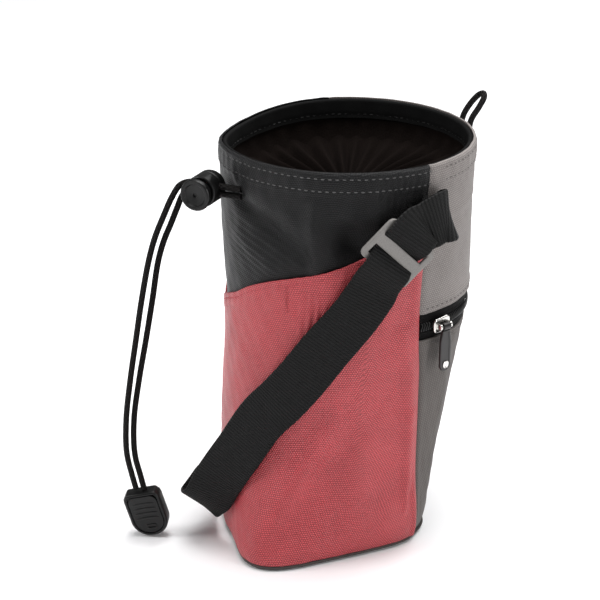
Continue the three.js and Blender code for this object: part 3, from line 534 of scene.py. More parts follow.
class Graph:
    """A material's nodes, made and linked by short calls."""

    def __init__(self, name: str) -> None:
        """Starts a material of one surface shader.

        Args:
            name: The material's name.
        """
        self.material = bpy.data.materials.new(name)
        self.material.use_nodes = True
        self.tree = self.material.node_tree
        self.tree.nodes.clear()
        self.output = self.tree.nodes.new("ShaderNodeOutputMaterial")
        self.shader = self.tree.nodes.new("ShaderNodeBsdfPrincipled")
        self.tree.links.new(self.shader.outputs[0], self.output.inputs[0])

    def put(self, socket: Socket, value: object) -> None:
        """Links a socket's value in, or sets it where it is a plain number or colour."""
        if isinstance(value, bpy.types.NodeSocket):
            self.tree.links.new(value, socket)
        else:
            socket.default_value = value

    def math(self, operation: str, *values: object) -> Socket:
        """One Math node over its values."""
        node = self.tree.nodes.new("ShaderNodeMath")
        node.operation = operation
        for socket, value in zip(node.inputs, values):
            self.put(socket, value)
        return node.outputs[0]

    def plus(self, first: object, second: object) -> Socket:
        """The sum of two values."""
        return self.math("ADD", first, second)

    def minus(self, first: object, second: object) -> Socket:
        """The first value less the second."""
        return self.math("SUBTRACT", first, second)

    def times(self, first: object, second: object) -> Socket:
        """The product of two values."""
        return self.math("MULTIPLY", first, second)

    def over(self, first: object, second: object) -> Socket:
        """The first value divided by the second."""
        return self.math("DIVIDE", first, second)

    def beat(self, turns: Socket) -> Socket:
        """Size of a sine wave that beats once for each 1 of its value."""
        return self.math("ABSOLUTE", self.math("SINE", self.times(turns, np.pi)))

    def lay(self) -> tuple[Socket, Socket]:
        """The two flat places of the piece's own map, across and along, in millimetres."""
        source = self.tree.nodes.new("ShaderNodeUVMap")
        source.uv_map = "Lay"
        split = self.tree.nodes.new("ShaderNodeSeparateXYZ")
        self.tree.links.new(source.outputs[0], split.inputs[0])
        return split.outputs[0], split.outputs[1]

    def noise(self, per_metre: float, detail: float = 3.0, stretch: Sequence[float] = (1, 1, 1)) -> Socket:
        """Smooth noise on the object's own coordinates.

        Args:
            per_metre: Blotches per metre.
            detail: How many finer layers are added.
            stretch: Scale along each axis.

        Returns:
            The noise, about 0.5.
        """
        place = self.tree.nodes.new("ShaderNodeTexCoord")
        mapping = self.tree.nodes.new("ShaderNodeMapping")
        mapping.inputs["Scale"].default_value = stretch
        self.tree.links.new(place.outputs["Object"], mapping.inputs["Vector"])
        node = self.tree.nodes.new("ShaderNodeTexNoise")
        node.inputs["Scale"].default_value = per_metre
        node.inputs["Detail"].default_value = detail
        self.tree.links.new(mapping.outputs[0], node.inputs["Vector"])
        return node.outputs["Fac"]

    def mix(self, share: object, low: object, high: object) -> Socket:
        """A colour between two colours."""
        node = self.tree.nodes.new("ShaderNodeMix")
        node.data_type = "RGBA"
        self.put(node.inputs["Factor"], share)
        self.put(node.inputs["A"], low if isinstance(low, bpy.types.NodeSocket) else (*low, 1.0))
        self.put(node.inputs["B"], high if isinstance(high, bpy.types.NodeSocket) else (*high, 1.0))
        return node.outputs["Result"]

    def range(self, value: Socket, low: float, high: float, to_low: float, to_high: float) -> Socket:
        """A value taken from one range to another, clamped."""
        node = self.tree.nodes.new("ShaderNodeMapRange")
        for socket, number in zip(node.inputs[1:5], (low, high, to_low, to_high)):
            socket.default_value = number
        self.tree.links.new(value, node.inputs[0])
        return node.outputs[0]

    def bump(self, height: Socket, distance: float, strength: float = 1.0,
             under: Optional[Socket] = None) -> Socket:
        """A bumped normal: height times distance in metres, laid over another bump if one is given."""
        node = self.tree.nodes.new("ShaderNodeBump")
        node.inputs["Distance"].default_value = distance
        node.inputs["Strength"].default_value = strength
        self.tree.links.new(height, node.inputs["Height"])
        if under is not None:
            self.tree.links.new(under, node.inputs["Normal"])
        return node.outputs[0]

    def finish(self, colour: object, roughness: object, normal: Optional[Socket] = None,
               **fixed: float) -> bpy.types.Material:
        """Feeds the surface shader.

        Args:
            colour: Base colour, a socket or three numbers.
            roughness: Roughness, a socket or a number.
            normal: Bumped normal.
            fixed: Other sockets by name, with _ for a space, each a constant.

        Returns:
            The material.
        """
        made = isinstance(colour, bpy.types.NodeSocket)
        self.put(self.shader.inputs["Base Color"], colour if made else (*colour, 1.0))
        self.put(self.shader.inputs["Roughness"], roughness)
        if normal is not None:
            self.put(self.shader.inputs["Normal"], normal)
        for name, value in fixed.items():
            self.shader.inputs[name.replace("_", " ")].default_value = value
        return self.material


def shade(red: float, green: float, blue: float) -> Colour:
    """A screen colour from 0 to 255 as linear light."""
    values = np.array([red, green, blue]) / 255.0
    linear = np.where(values <= 0.04045, values / 12.92, ((values + 0.055) / 1.055) ** 2.4)
    return tuple(float(v) for v in linear)


def scaled(colour: Colour, share: float) -> Colour:
    """A colour with its light multiplied by a share."""
    return tuple(share * c for c in colour)


@dataclass(frozen=True)
class CoatedWeave:
    """Plain-woven coated cloth, whose crossings stand out as rows of staggered dots."""

    name: str
    # The first colour, of the dots, is lighter than the cloth as a painted highlight on each crossing; the
    # second, between the dots, is darker as painted shade.
    thread: Colour
    shaded_valley: Colour
    across: float = 1.22
    along: float = 1.06
    depth: float = 0.00018
    roughness: float = 0.42
    specular: float = 0.35

    def material(self) -> bpy.types.Material:
        """The finish: a dot at each crossing is one less the square of the distance from its middle
        across, times the same along, and every other row is set off by half a crossing."""
        g = Graph(self.name)
        u, v = g.lay()
        row = g.over(v, self.along)
        shift = g.times(g.math("FLOORED_MODULO", g.math("FLOOR", row), 2.0), 0.5)
        column = g.plus(g.over(u, self.across), shift)
        humps = []
        for place in (column, row):
            off = g.minus(g.times(g.math("FRACT", place), 2.0), 1.0)
            humps.append(g.minus(1.0, g.math("POWER", g.math("ABSOLUTE", off), 2.2)))
        dot = g.times(humps[0], humps[1])
        blotch = g.noise(45.0, 2.0)
        uneven = g.noise(900.0, 1.0)
        tone = g.times(dot, g.range(uneven, 0.3, 0.7, 0.72, 1.0))
        tone = g.plus(tone, g.range(blotch, 0.3, 0.7, -0.06, 0.06))
        # Colour runs from the painted shade between the dots to the painted highlight on them; the dots
        # themselves follow the real weave.
        colour = g.mix(g.range(tone, 0.05, 0.85, 0.0, 1.0), self.shaded_valley, self.thread)
        rough = g.range(dot, 0.0, 1.0, self.roughness + 0.16, self.roughness)
        soft = g.bump(g.noise(160.0, 2.0), 0.00035, 0.5)
        return g.finish(colour, rough, g.bump(dot, self.depth, 1.0, soft), Specular_IOR_Level=self.specular)


@dataclass(frozen=True)
class PlainCloth:
    """Fine smooth cloth: threads too thin to stand out, with a faint cross grain."""

    name: str
    colour: Colour
    pitch: float = 0.9
    roughness: float = 0.7
    grain: float = 0.00008
    specular: float = 0.1

    def material(self) -> bpy.types.Material:
        """The finish: a grain of crossed sine waves, one thread a pitch, over slow blotches."""
        g = Graph(self.name)
        u, v = g.lay()
        waves = [g.math("SINE", g.times(place, 2.0 * np.pi / self.pitch)) for place in (u, v)]
        grain = g.times(waves[0], waves[1])
        dark = scaled(self.colour, 0.80)
        light = scaled(self.colour, 1.10)
        tone = g.times(grain, 0.18)
        tone = g.plus(tone, g.range(g.noise(40.0, 3.0), 0.3, 0.7, 0.25, 0.75))
        soft = g.bump(g.noise(140.0, 2.0), 0.0004, 0.5)
        return g.finish(g.mix(tone, dark, light), self.roughness, g.bump(grain, self.grain, 1.0, soft),
                        Specular_IOR_Level=self.specular)


@dataclass(frozen=True)
class Fleece:
    """Short black pile."""

    name: str = "fleece_pile"
    colour: Colour = shade(20, 15, 13)

    def material(self) -> bpy.types.Material:
        """The finish: fine noise for the pile, and slow noise where it lies over."""
        g = Graph(self.name)
        pile = g.noise(1400.0, 2.0)
        lie = g.noise(90.0, 3.0)
        dark = scaled(self.colour, 0.55)
        tone = g.plus(g.times(pile, 0.5), g.times(lie, 0.5))
        normal = g.bump(pile, 0.0005, 0.8, g.bump(lie, 0.0008, 0.5))
        return g.finish(g.mix(tone, dark, self.colour), 0.95, normal, Specular_IOR_Level=0.04)


@dataclass(frozen=True)
class Webbing:
    """Black ribbed webbing: ribs across it, and fine warp threads over them."""

    name: str = "ribbed_webbing"
    rib: float = 1.55
    warp: float = 0.78

    def material(self) -> bpy.types.Material:
        """The finish: a rib is the size of a sine wave along the strap, cut by one across it that is
        set off by half a rib on every other warp thread."""
        g = Graph(self.name)
        u, v = g.lay()
        thread = g.over(u, self.warp)
        odd = g.times(g.math("FLOORED_MODULO", g.math("FLOOR", thread), 2.0), 0.12)
        rib = g.beat(g.plus(g.over(v, self.rib), odd))
        strand = g.beat(thread)
        height = g.plus(g.times(rib, 0.8), g.times(strand, 0.2))
        tone = g.times(height, 0.8)
        tone = g.plus(tone, g.range(g.noise(700.0, 2.0), 0.3, 0.7, 0.0, 0.2))
        colour = g.mix(tone, shade(0, 0, 0), shade(25, 25, 25))
        return g.finish(colour, 0.62, g.bump(height, 0.00055), Specular_IOR_Level=0.16)


@dataclass(frozen=True)
class BraidedSheath:
    """Braided black sheath of a cord: two sets of strands that cross round it."""

    name: str
    strands: float = 6.0
    lay_length: float = 3.4

    def material(self) -> bpy.types.Material:
        """The finish: the product of two sine waves that wind round the cord opposite ways."""
        g = Graph(self.name)
        u, v = g.lay()
        turn = g.times(u, self.strands)
        rise = g.over(v, self.lay_length)
        left, right = g.beat(g.plus(turn, rise)), g.beat(g.minus(turn, rise))
        height = g.math("POWER", g.times(left, right), 0.6)
        tone = g.times(height, g.range(g.noise(1500.0, 1.0), 0.3, 0.7, 0.4, 1.0))
        colour = g.mix(tone, shade(3, 3, 3), shade(30, 27, 26))
        return g.finish(colour, 0.6, g.bump(height, 0.0004), Specular_IOR_Level=0.12)


@dataclass(frozen=True)
class Metal:
    """A metal finish, from matt painted zinc to bright nickel."""

    name: str
    colour: Colour
    roughness: float
    metallic: float
    grain: float = 0.00006
    speckle: float = 0.0

    def material(self) -> bpy.types.Material:
        """The finish: slow blotches in colour and roughness, fine noise in height and as speckles."""
        g = Graph(self.name)
        fine = g.noise(2200.0, 2.0)
        slow = g.noise(120.0, 3.0)
        dark = scaled(self.colour, 0.78)
        rough = g.range(slow, 0.3, 0.7, self.roughness - 0.05, self.roughness + 0.08)
        spots = g.times(g.range(fine, 0.35, 0.65, -0.5, 0.5), self.speckle)
        colour = g.mix(g.plus(slow, spots), dark, self.colour)
        return g.finish(colour, rough, g.bump(fine, self.grain), Metallic=self.metallic)


@dataclass(frozen=True)
class MouldedPlastic:
    """Moulded black plastic with a slight texture."""

    name: str
    colour: Colour = shade(9, 9, 9)
    roughness: float = 0.38

    def material(self) -> bpy.types.Material:
        """The finish: fine noise as the mould's texture, slower noise as handling marks."""
        g = Graph(self.name)
        fine = g.noise(1800.0, 2.0)
        marks = g.noise(150.0, 4.0)
        rough = g.range(marks, 0.35, 0.7, self.roughness - 0.06, self.roughness + 0.12)
        tone = g.mix(marks, scaled(self.colour, 0.8), scaled(self.colour, 1.25))
        return g.finish(tone, rough, g.bump(fine, 0.00005), Specular_IOR_Level=0.3)


@dataclass(frozen=True)
class Thread:
    """Sewing thread: twisted, with a soft gloss."""

    name: str
    colour: Colour

    def material(self) -> bpy.types.Material:
        """The finish: fine noise between a darker and a lighter tone."""
        g = Graph(self.name)
        tone = g.noise(2600.0, 1.0)
        dark = scaled(self.colour, 0.6)
        return g.finish(g.mix(tone, dark, self.colour), 0.55, g.bump(tone, 0.0001))


class Finishes:
    """All the finishes of the bag, each made once."""

    def __init__(self) -> None:
        """Makes the finishes from their colours."""
        # Each woven cloth gets a lighter dot colour as painted highlight and a darker colour between the dots
        # as painted shade.
        self.red = CoatedWeave(
            "red_weave", shade(212, 80, 86), shade(116, 24, 32), roughness=0.34, specular=0.5).material()
        self.black = CoatedWeave(
            "black_weave", shade(24, 24, 25), shade(3, 3, 4), roughness=0.36, specular=0.22).material()
        # One grey cloth made twice: the copy for the wall above the zip is painted lighter (painted light),
        # and the copy for the wall below it painted darker (painted shade).
        grey = {"depth": 0.00007, "roughness": 0.55}
        self.grey = CoatedWeave(
            "grey_weave", shade(146, 140, 137), shade(104, 99, 97), specular=0.2, **grey).material()
        self.grey_painted_shade = CoatedWeave(
            "grey_weave_painted_shade", shade(108, 103, 100), shade(78, 74, 72), specular=0.15, **grey).material()
        self.base = PlainCloth("base_cloth", shade(82, 78, 76)).material()
        self.facing = PlainCloth("facing_cloth", shade(12, 12, 12), 0.7, 0.8).material()
        self.fleece = Fleece().material()
        self.webbing = Webbing().material()
        self.cord = BraidedSheath("cord_sheath").material()
        self.zinc = Metal("zinc_grey", shade(132, 129, 126), 0.5, 0.2, speckle=0.9).material()
        self.nickel = Metal("bright_nickel", shade(228, 226, 222), 0.2, 1.0, 0.00002).material()
        self.gunmetal = Metal("gunmetal", shade(70, 69, 69), 0.32, 0.9, 0.00002).material()
        self.plastic = MouldedPlastic("black_plastic").material()
        self.tape = PlainCloth("zip_tape", shade(10, 9, 9), 1.1, 0.75).material()
        self.coil = MouldedPlastic("zip_coil", shade(20, 20, 20), 0.35).material()
        # The black thread is coloured mid grey: painted sheen.
        self.black_thread_painted_sheen = Thread("black_thread_painted_sheen", shade(84, 83, 83)).material()
        self.red_thread = Thread("red_thread", shade(176, 62, 68)).material()
        self.grey_thread = Thread("grey_thread", shade(92, 86, 84)).material()


# ---- the bag's form ----


@dataclass(frozen=True)
class BagForm:
    """The soft body's outer face: a squared ellipse at each height, with its dents and bulges."""

    height: float = 210.0
    mouth_radius: float = MOUTH_RADIUS
    base_front: float = 62.0
    base_back: float = 36.5
    base_side: float = 45.0
    base_tuck: float = 3.5
    base_tuck_height: float = 12.0
    rim_dip: float = 4.0
    gap: float = 0.3
    cloth: float = 1.2
    base_thickness: float = 2.6
    sections: Table = Table(
        ("height", "front", "back", "side", "front_square", "back_square", "seam"),
        (
            (0.00, 0.00, 0.00, 0.00, 3.0, 3.6, 116.0), (0.06, 0.00, 0.00, 0.00, 2.9, 3.6, 114.0),
            (0.20, 0.00, 0.14, 0.12, 2.5, 3.4, 106.5), (0.35, 0.33, 0.35, 0.33, 2.3, 3.2, 102.5),
            (0.48, 0.67, 0.57, 0.54, 2.2, 2.9, 100.8), (0.56, 1.00, 0.76, 0.69, 2.1, 2.5, 100.5),
            (0.66, 1.00, 0.96, 0.80, 2.05, 2.2, 101.0), (0.85, 1.00, 1.02, 0.95, 2.0, 2.05, 103.0),
            (1.00, 1.00, 1.02, 1.00, 2.0, 2.0, 104.5),
        ),
    )
    dents: Table = Table(
        ("angle", "height", "angle_spread", "height_spread", "depth"),
        (
            (38, 0.00, 28, 0.17, 0.20), (70, 0.83, 9, 0.060, -0.060), (54, 0.85, 6, 0.085, 0.030),
            (33, 0.88, 8, 0.06, -0.02), (86, 0.30, 9, 0.30, 0.02), (60, 0.30, 16, 0.22, -0.02),
            (10, 0.28, 14, 0.12, 0.02), (-70, 0.87, 10, 0.06, -0.035), (150, 0.80, 14, 0.10, -0.015),
            (-24, 0.56, 24, 0.17, -0.048), (128, 0.00, 26, 0.06, -0.05),
        ),
    )
    pocket_edge: Table = Table(
        ("angle", "height"),
        (
            (-120, 0.850), (-92, 0.834), (-76, 0.800), (-62, 0.755), (-48, 0.690), (-34, 0.618),
            (-22, 0.600), (-8, 0.628), (0, 0.646), (10, 0.668), (20, 0.698), (34, 0.729),
            (52, 0.757), (67, 0.781), (80, 0.810), (92, 0.834), (120, 0.850),
        ),
    )

    def seam(self, z: Array) -> Array:
        """Angle of the side seams at each height."""
        return self.sections.read("seam", np.asarray(z) / self.height)

    def pocket_top(self, angle: Array) -> Array:
        """Height of the front pocket's top edge at each angle."""
        return self.height * self.pocket_edge.read("height", angle)

    def face(self, angle: Array, z: Array) -> Array:
        """Points of the outer face.

        Each height is an ellipse raised to the power of its squareness, moved out along its radius by
        the sum of bell-shaped dents, drawn in near the base along a quarter circle, and let down where
        the rim dips.

        Args:
            angle: Angles round the bag.
            z: Heights, of the same shape.

        Returns:
            The points, one more axis than the input.
        """
        angle, z = np.broadcast_arrays(np.asarray(angle, dtype=float), np.asarray(z, dtype=float))
        share = z / self.height
        read = self.sections.read
        turn = np.radians(angle)
        fore = np.cos(turn) > 0.0

        def blend(low: float, column: str) -> Array:
            """Size between the base's and the mouth's."""
            return low + (self.mouth_radius - low) * read(column, share)

        reach = np.where(fore, blend(self.base_front, "front"), blend(self.base_back, "back"))
        power = 2.0 / np.where(fore, read("front_square", share), read("back_square", share))
        x = blend(self.base_side, "side") * signed_power(np.sin(turn), power)
        y = -reach * signed_power(np.cos(turn), power)
        wrapped = (angle + 180.0) % 360.0 - 180.0
        push = np.zeros_like(x)
        for at, level, wide, tall, depth in self.dents.rows:
            push = push + depth * self.mouth_radius * bell(wrapped, at, wide) * bell(share, level, tall)
        low = np.clip(1.0 - z / self.base_tuck_height, 0.0, 1.0)
        push = push - self.base_tuck * (1.0 - np.sqrt(1.0 - low * low))
        grow = 1.0 + push / np.hypot(x, y)
        dip = self.rim_dip * np.clip(share, 0.0, 1.2) ** 5 * bell(wrapped, -45.0, 35.0)
        return np.stack([x * grow, y * grow, z - dip], axis=-1)

    def normal(self, angle: Array, z: Array) -> Array:
        """Outward directions of the face: the cross product of its runs round and up."""
        round_run = self.face(np.asarray(angle) + 1.0, z) - self.face(np.asarray(angle) - 1.0, z)
        high = np.minimum(np.asarray(z, dtype=float) + 2.0, self.height)
        up_run = self.face(angle, high) - self.face(angle, high - 4.0)
        return unit(np.cross(round_run, up_run))

    def level(self, angle: Array, z: Array) -> Array:
        """Outward directions of the face, laid level."""
        return unit(self.normal(angle, z) * np.array([1.0, 1.0, 0.0]))

    def wall(self, angle: Array, z: Array, offset: Array) -> Array:
        """Points a given distance out from the face, level with it."""
        return self.face(angle, z) + self.level(angle, z) * np.asarray(offset, dtype=float)[..., None]


@dataclass(frozen=True)
class Fold:
    """A straight fold in the cloth: outward with a positive depth, inward with a negative one."""

    start: tuple[float, float]
    end: tuple[float, float]
    width: float
    depth: float

    def lift(self, angle: Array, z: Array) -> Array:
        """How far the cloth is lifted: a bell curve of the distance from the fold's line, with angles
        taken as lengths round the mouth.

        Args:
            angle: Angles.
            z: Heights.

        Returns:
            The lift in millimetres.
        """
        ax, ay = self.start[0] * MOUTH_DEGREE, self.start[1]
        px, py = angle * MOUTH_DEGREE - ax, z - ay
        dx, dy = self.end[0] * MOUTH_DEGREE - ax, self.end[1] - ay
        share = np.clip((px * dx + py * dy) / max(dx * dx + dy * dy, 1e-9), 0.0, 1.0)
        off = np.hypot(px - share * dx, py - share * dy)
        fade = 0.45 + 0.55 * np.sin(np.pi * (0.12 + 0.76 * share))
        return self.depth * np.exp(-((off / self.width) ** 2)) * fade


@dataclass(frozen=True)
class Ripple:
    """Fine parallel ripples in a patch of cloth."""

    centre: tuple[float, float]
    reach: tuple[float, float]
    tilt: float
    pitch: float
    depth: float
    bend: float = 0.0

    def lift(self, angle: Array, z: Array) -> Array:
        """A sine wave across the tilted lines, faded by a bell curve round the patch's centre.

        Args:
            angle: Angles.
            z: Heights.

        Returns:
            The lift in millimetres.
        """
        x, y = (angle - self.centre[0]) * MOUTH_DEGREE, z - self.centre[1]
        c, s = np.cos(np.radians(self.tilt)), np.sin(np.radians(self.tilt))
        run, rise = x * c + y * s, y * c - x * s
        fade = np.exp(-((x / self.reach[0]) ** 2) - (y / self.reach[1]) ** 2)
        return self.depth * fade * np.sin(2.0 * np.pi * (rise + self.bend * run * run) / self.pitch)


def drift(angle: Array, z: Array, size: float) -> Array:
    """Slow unevenness of cloth: a sum of five sine waves in fixed directions and phases.

    Args:
        angle: Angles.
        z: Heights.
        size: Greatest lift.

    Returns:
        The lift in millimetres.
    """
    x = angle * MOUTH_DEGREE
    waves = ((0.062, 0.041, 0.4), (-0.083, 0.057, 1.9), (0.121, -0.048, 3.1), (0.035, 0.139, 5.0),
             (0.17, 0.11, 2.2))
    total = sum(np.sin(2.0 * np.pi * (a * x + b * z) * 0.6 + c) for a, b, c in waves)
    return size * total / len(waves)


@dataclass(frozen=True)
class SeamRoll:
    """How the cloth of a panel swells beside its side seam and dips into it."""

    swell: float
    width: float
    dip: float

    def lift(self, from_seam: Array) -> Array:
        """A bell curve a width from the seam, less a steep fall at the seam itself."""
        swell = self.swell * bell(from_seam, self.width, self.width * 0.75)
        return swell - self.dip * np.exp(-from_seam / 0.9)


@dataclass(frozen=True)
class Panel:
    """A cloth wall between the two side seams, from its foot to its top edge."""

    form: BagForm
    foot: float
    behind: bool = False
    trim: float = 0.02
    columns: int = 240
    rows: int = 120
    offset: float = 0.0
    thickness: float = 1.2
    folds: tuple[object, ...] = ()
    roll: SeamRoll = SeamRoll(0.0, 3.0, 0.3)
    unevenness: float = 0.25
    fine_from: float = 0.0

    def top(self, angle: Array) -> Array:
        """Height of the top edge at each angle."""
        return np.full_like(np.asarray(angle, dtype=float), self.form.height)

    def edge_lift(self, angle: Array, z: Array, top: Array) -> Array:
        """Extra lift near the top and foot, such as a hem."""
        return np.zeros_like(z)

    def edge_round(self, z: Array, top: Array) -> Array:
        """How far each face draws back to the middle of the cloth at its top and foot, rounding them."""
        half = self.thickness / 2.0
        reach = np.minimum(top - z, z - self.foot)
        near = np.clip(1.0 - reach / half, 0.0, 1.0)
        return half * (1.0 - np.sqrt(np.maximum(1.0 - near * near, 0.0))) * 0.85

    def angle_at(self, place: Array, z: Array) -> Array:
        """Angle of a place between the seams, -1 to 1, at each height."""
        trim = self.trim / MOUTH_DEGREE
        if self.behind:
            return 180.0 + place * (180.0 - self.form.seam(z) - trim)
        return place * (self.form.seam(z) - trim)

    def rows_between(self) -> Array:
        """Shares of the rows from foot to top: close at both ends, and closer above the fine part."""
        edge = np.array([0.0, 0.001, 0.0025, 0.005])
        inner = np.linspace(0.0, 1.0, self.rows)
        if self.fine_from > 0.0:
            inner = np.interp(inner, [0.0, 0.2, 1.0], [0.0, self.fine_from, 1.0])
        return np.unique(np.concatenate([edge, 0.008 + 0.984 * inner, 1.0 - edge]))

    def lift(self, angle: Array, z: Array, top: Array) -> Array:
        """All the lifts of the cloth together: unevenness, folds, seam rolls and edges."""
        wrapped = np.where(self.behind, 180.0 - angle, angle)
        seam = self.form.seam(z)
        half = 180.0 - seam if self.behind else seam
        from_seam = (half - np.abs(wrapped)) * MOUTH_DEGREE
        total = drift(angle, z, self.unevenness) * smooth(0.0, 9.0, from_seam)
        for fold in self.folds:
            total = total + fold.lift(angle, z)
        total = total + self.roll.lift(np.maximum(from_seam, 0.0))
        return total + self.edge_lift(angle, z, top)

    def surface(self, angle: Array, z: Array) -> Array:
        """Points of the finished outer face."""
        angle, z = np.broadcast_arrays(np.asarray(angle, dtype=float), np.asarray(z, dtype=float))
        return self.form.wall(angle, z, self.offset + self.lift(angle, z, self.top(angle)))

    def build(self) -> Form:
        """The panel's closed sheet, its flat places measured along the cloth in both directions."""
        place = np.linspace(-1.0, 1.0, self.columns)[:, None]
        high = np.full_like(place, self.form.height)
        for _ in range(3):
            high = self.top(self.angle_at(place, high))
        share = self.rows_between()[None]
        z = self.foot + (high - self.foot) * share
        angle = self.angle_at(place, z)
        top = np.broadcast_to(high, z.shape)
        lift = self.lift(angle, z, top)
        draw = self.edge_round(z, top)
        outer = self.form.wall(angle, z, self.offset + lift - draw)
        inner = self.form.wall(angle, z, self.offset + lift - self.thickness + draw)
        across = travelled_over(outer, 0)
        across = across - across[len(across) // 2]
        return two_faced(outer, inner, np.stack([across, travelled_over(outer, 1)], axis=-1))


@dataclass(frozen=True)
class UpperFront(Panel):
    """The black front wall, with the double hem of the mouth."""

    hem: float = 10.8
    hem_lift: float = 0.55
    covered_sink: float = 3.4
    stitch_rows: tuple[float, float] = (3.0, 9.0)

    def edge_lift(self, angle: Array, z: Array, top: Array) -> Array:
        """The hem stands out by the thickness of its fold, drawn in along its stitch rows, the top
        edge rounds over in the last millimetre, and the cloth under the pocket sits back."""
        below = top - z
        hem = self.hem_lift * (1.0 - smooth(self.hem - 0.5, self.hem + 0.7, below))
        pull = sum(0.28 * bell(below, row, 0.75) for row in self.stitch_rows)
        along_rim = angle * MOUTH_DEGREE
        pucker = 0.16 * np.sin(2.0 * np.pi * along_rim / 7.1 + 0.9 * np.sin(along_rim / 13.0))
        pucker = pucker * (1.0 - smooth(self.hem, self.hem + 6.0, below)) * smooth(0.5, 3.0, below)
        over = 0.7 * (1.0 - smooth(0.0, 1.3, below))
        covered = self.covered_sink * smooth(2.0, 14.0, self.form.pocket_top(angle) - z)
        return hem - pull + pucker - over - covered


@dataclass(frozen=True)
class Pocket(Panel):
    """The red front pocket, with the turned hem of its slanting top edge."""

    hem: float = 6.4
    hem_lift: float = 0.35
    stitch_row: float = 3.0

    def top(self, angle: Array) -> Array:
        """Height of the slanting edge."""
        return self.form.pocket_top(angle)

    def edge_lift(self, angle: Array, z: Array, top: Array) -> Array:
        """The hem's fold, drawn in along its stitch row, with small puckers between the stitches."""
        below = top - z
        hem = self.hem_lift * (1.0 - smooth(self.hem - 0.5, self.hem + 0.9, below))
        pull = 0.3 * bell(below, self.stitch_row, 0.7)
        along_edge = angle * MOUTH_DEGREE
        pucker = 0.12 * np.sin(2.0 * np.pi * along_edge / 6.3)
        return hem - pull + pucker * (1.0 - smooth(self.hem, self.hem + 5.0, below))


@dataclass(frozen=True)
class UpperBack(UpperFront):
    """The grey back wall above the zip, with the same hem, and a turned foot that overhangs the zip."""

    covered_sink: float = 0.0
    foot_lift: float = 0.5

    def edge_lift(self, angle: Array, z: Array, top: Array) -> Array:
        """The front wall's hem with nothing sunk below it, and a double fold over the zip."""
        above = z - self.foot
        foot = self.foot_lift * (1.0 - smooth(4.6, 5.6, above)) - 0.22 * bell(above, 2.6, 0.7)
        return super().edge_lift(angle, z, top) + foot


@dataclass(frozen=True)
class LowerBack(Panel):
    """The grey back wall below the zip."""

    high: float = 120.0

    def top(self, angle: Array) -> Array:
        """Height of the edge under the zip."""
        return np.full_like(np.asarray(angle, dtype=float), self.high)

    def edge_lift(self, angle: Array, z: Array, top: Array) -> Array:
        """A stitched turn under the zip."""
        below = top - z
        return 0.3 * (1.0 - smooth(4.4, 5.4, below)) - 0.2 * bell(below, 2.4, 0.7)


@dataclass(frozen=True)
class StitchRow:
    """A row of sewn stitches over a surface."""

    pitch: float = 3.3
    length: float = 2.3
    radius: float = 0.3
    sink: float = 0.12
    flatness: float = 0.8
    segments: int = 6
    sides: int = 6

    def build(self, line: Array, normals: Array) -> Form:
        """One short bowed thread for each pitch of the line.

        A stitch is a tube whose middle stands a radius over the line and whose ends dive under it: its
        height falls with the square of the distance from its middle.

        Args:
            line: Points of the row on the cloth's face.
            normals: Outward directions at these points.

        Returns:
            The stitches as one form.
        """
        travelled = along(line)
        count = max(1, int(travelled[-1] / self.pitch))
        middles = (np.arange(count) + 0.5) * travelled[-1] / count
        spots = np.linspace(-0.5, 0.5, self.segments + 1)
        places = middles[:, None] + spots * self.length
        centre = follow(places, travelled, line)
        out = unit(follow(places, travelled, normals))
        run = unit(np.gradient(centre, axis=1))
        side = unit(np.cross(out, run))
        bow = self.radius * (0.9 - (2.0 * spots) ** 2 * 1.5) - self.sink
        slim = 0.55 + 0.45 * np.sqrt(np.clip(1.0 - (2.0 * spots) ** 4, 0.0, 1.0))
        circle = round_ring(self.sides, self.radius) * np.array([1.0, self.flatness])
        rings = carried(centre + out * bow[:, None], circle * slim[:, None, None], side, out)
        return Form.together([swept(ring) for ring in rings])


# ---- sub-assemblies ----


@dataclass
class Assembly:
    """A group of pieces that sits on the bag."""

    form: BagForm
    looks: Finishes
    maker: Maker


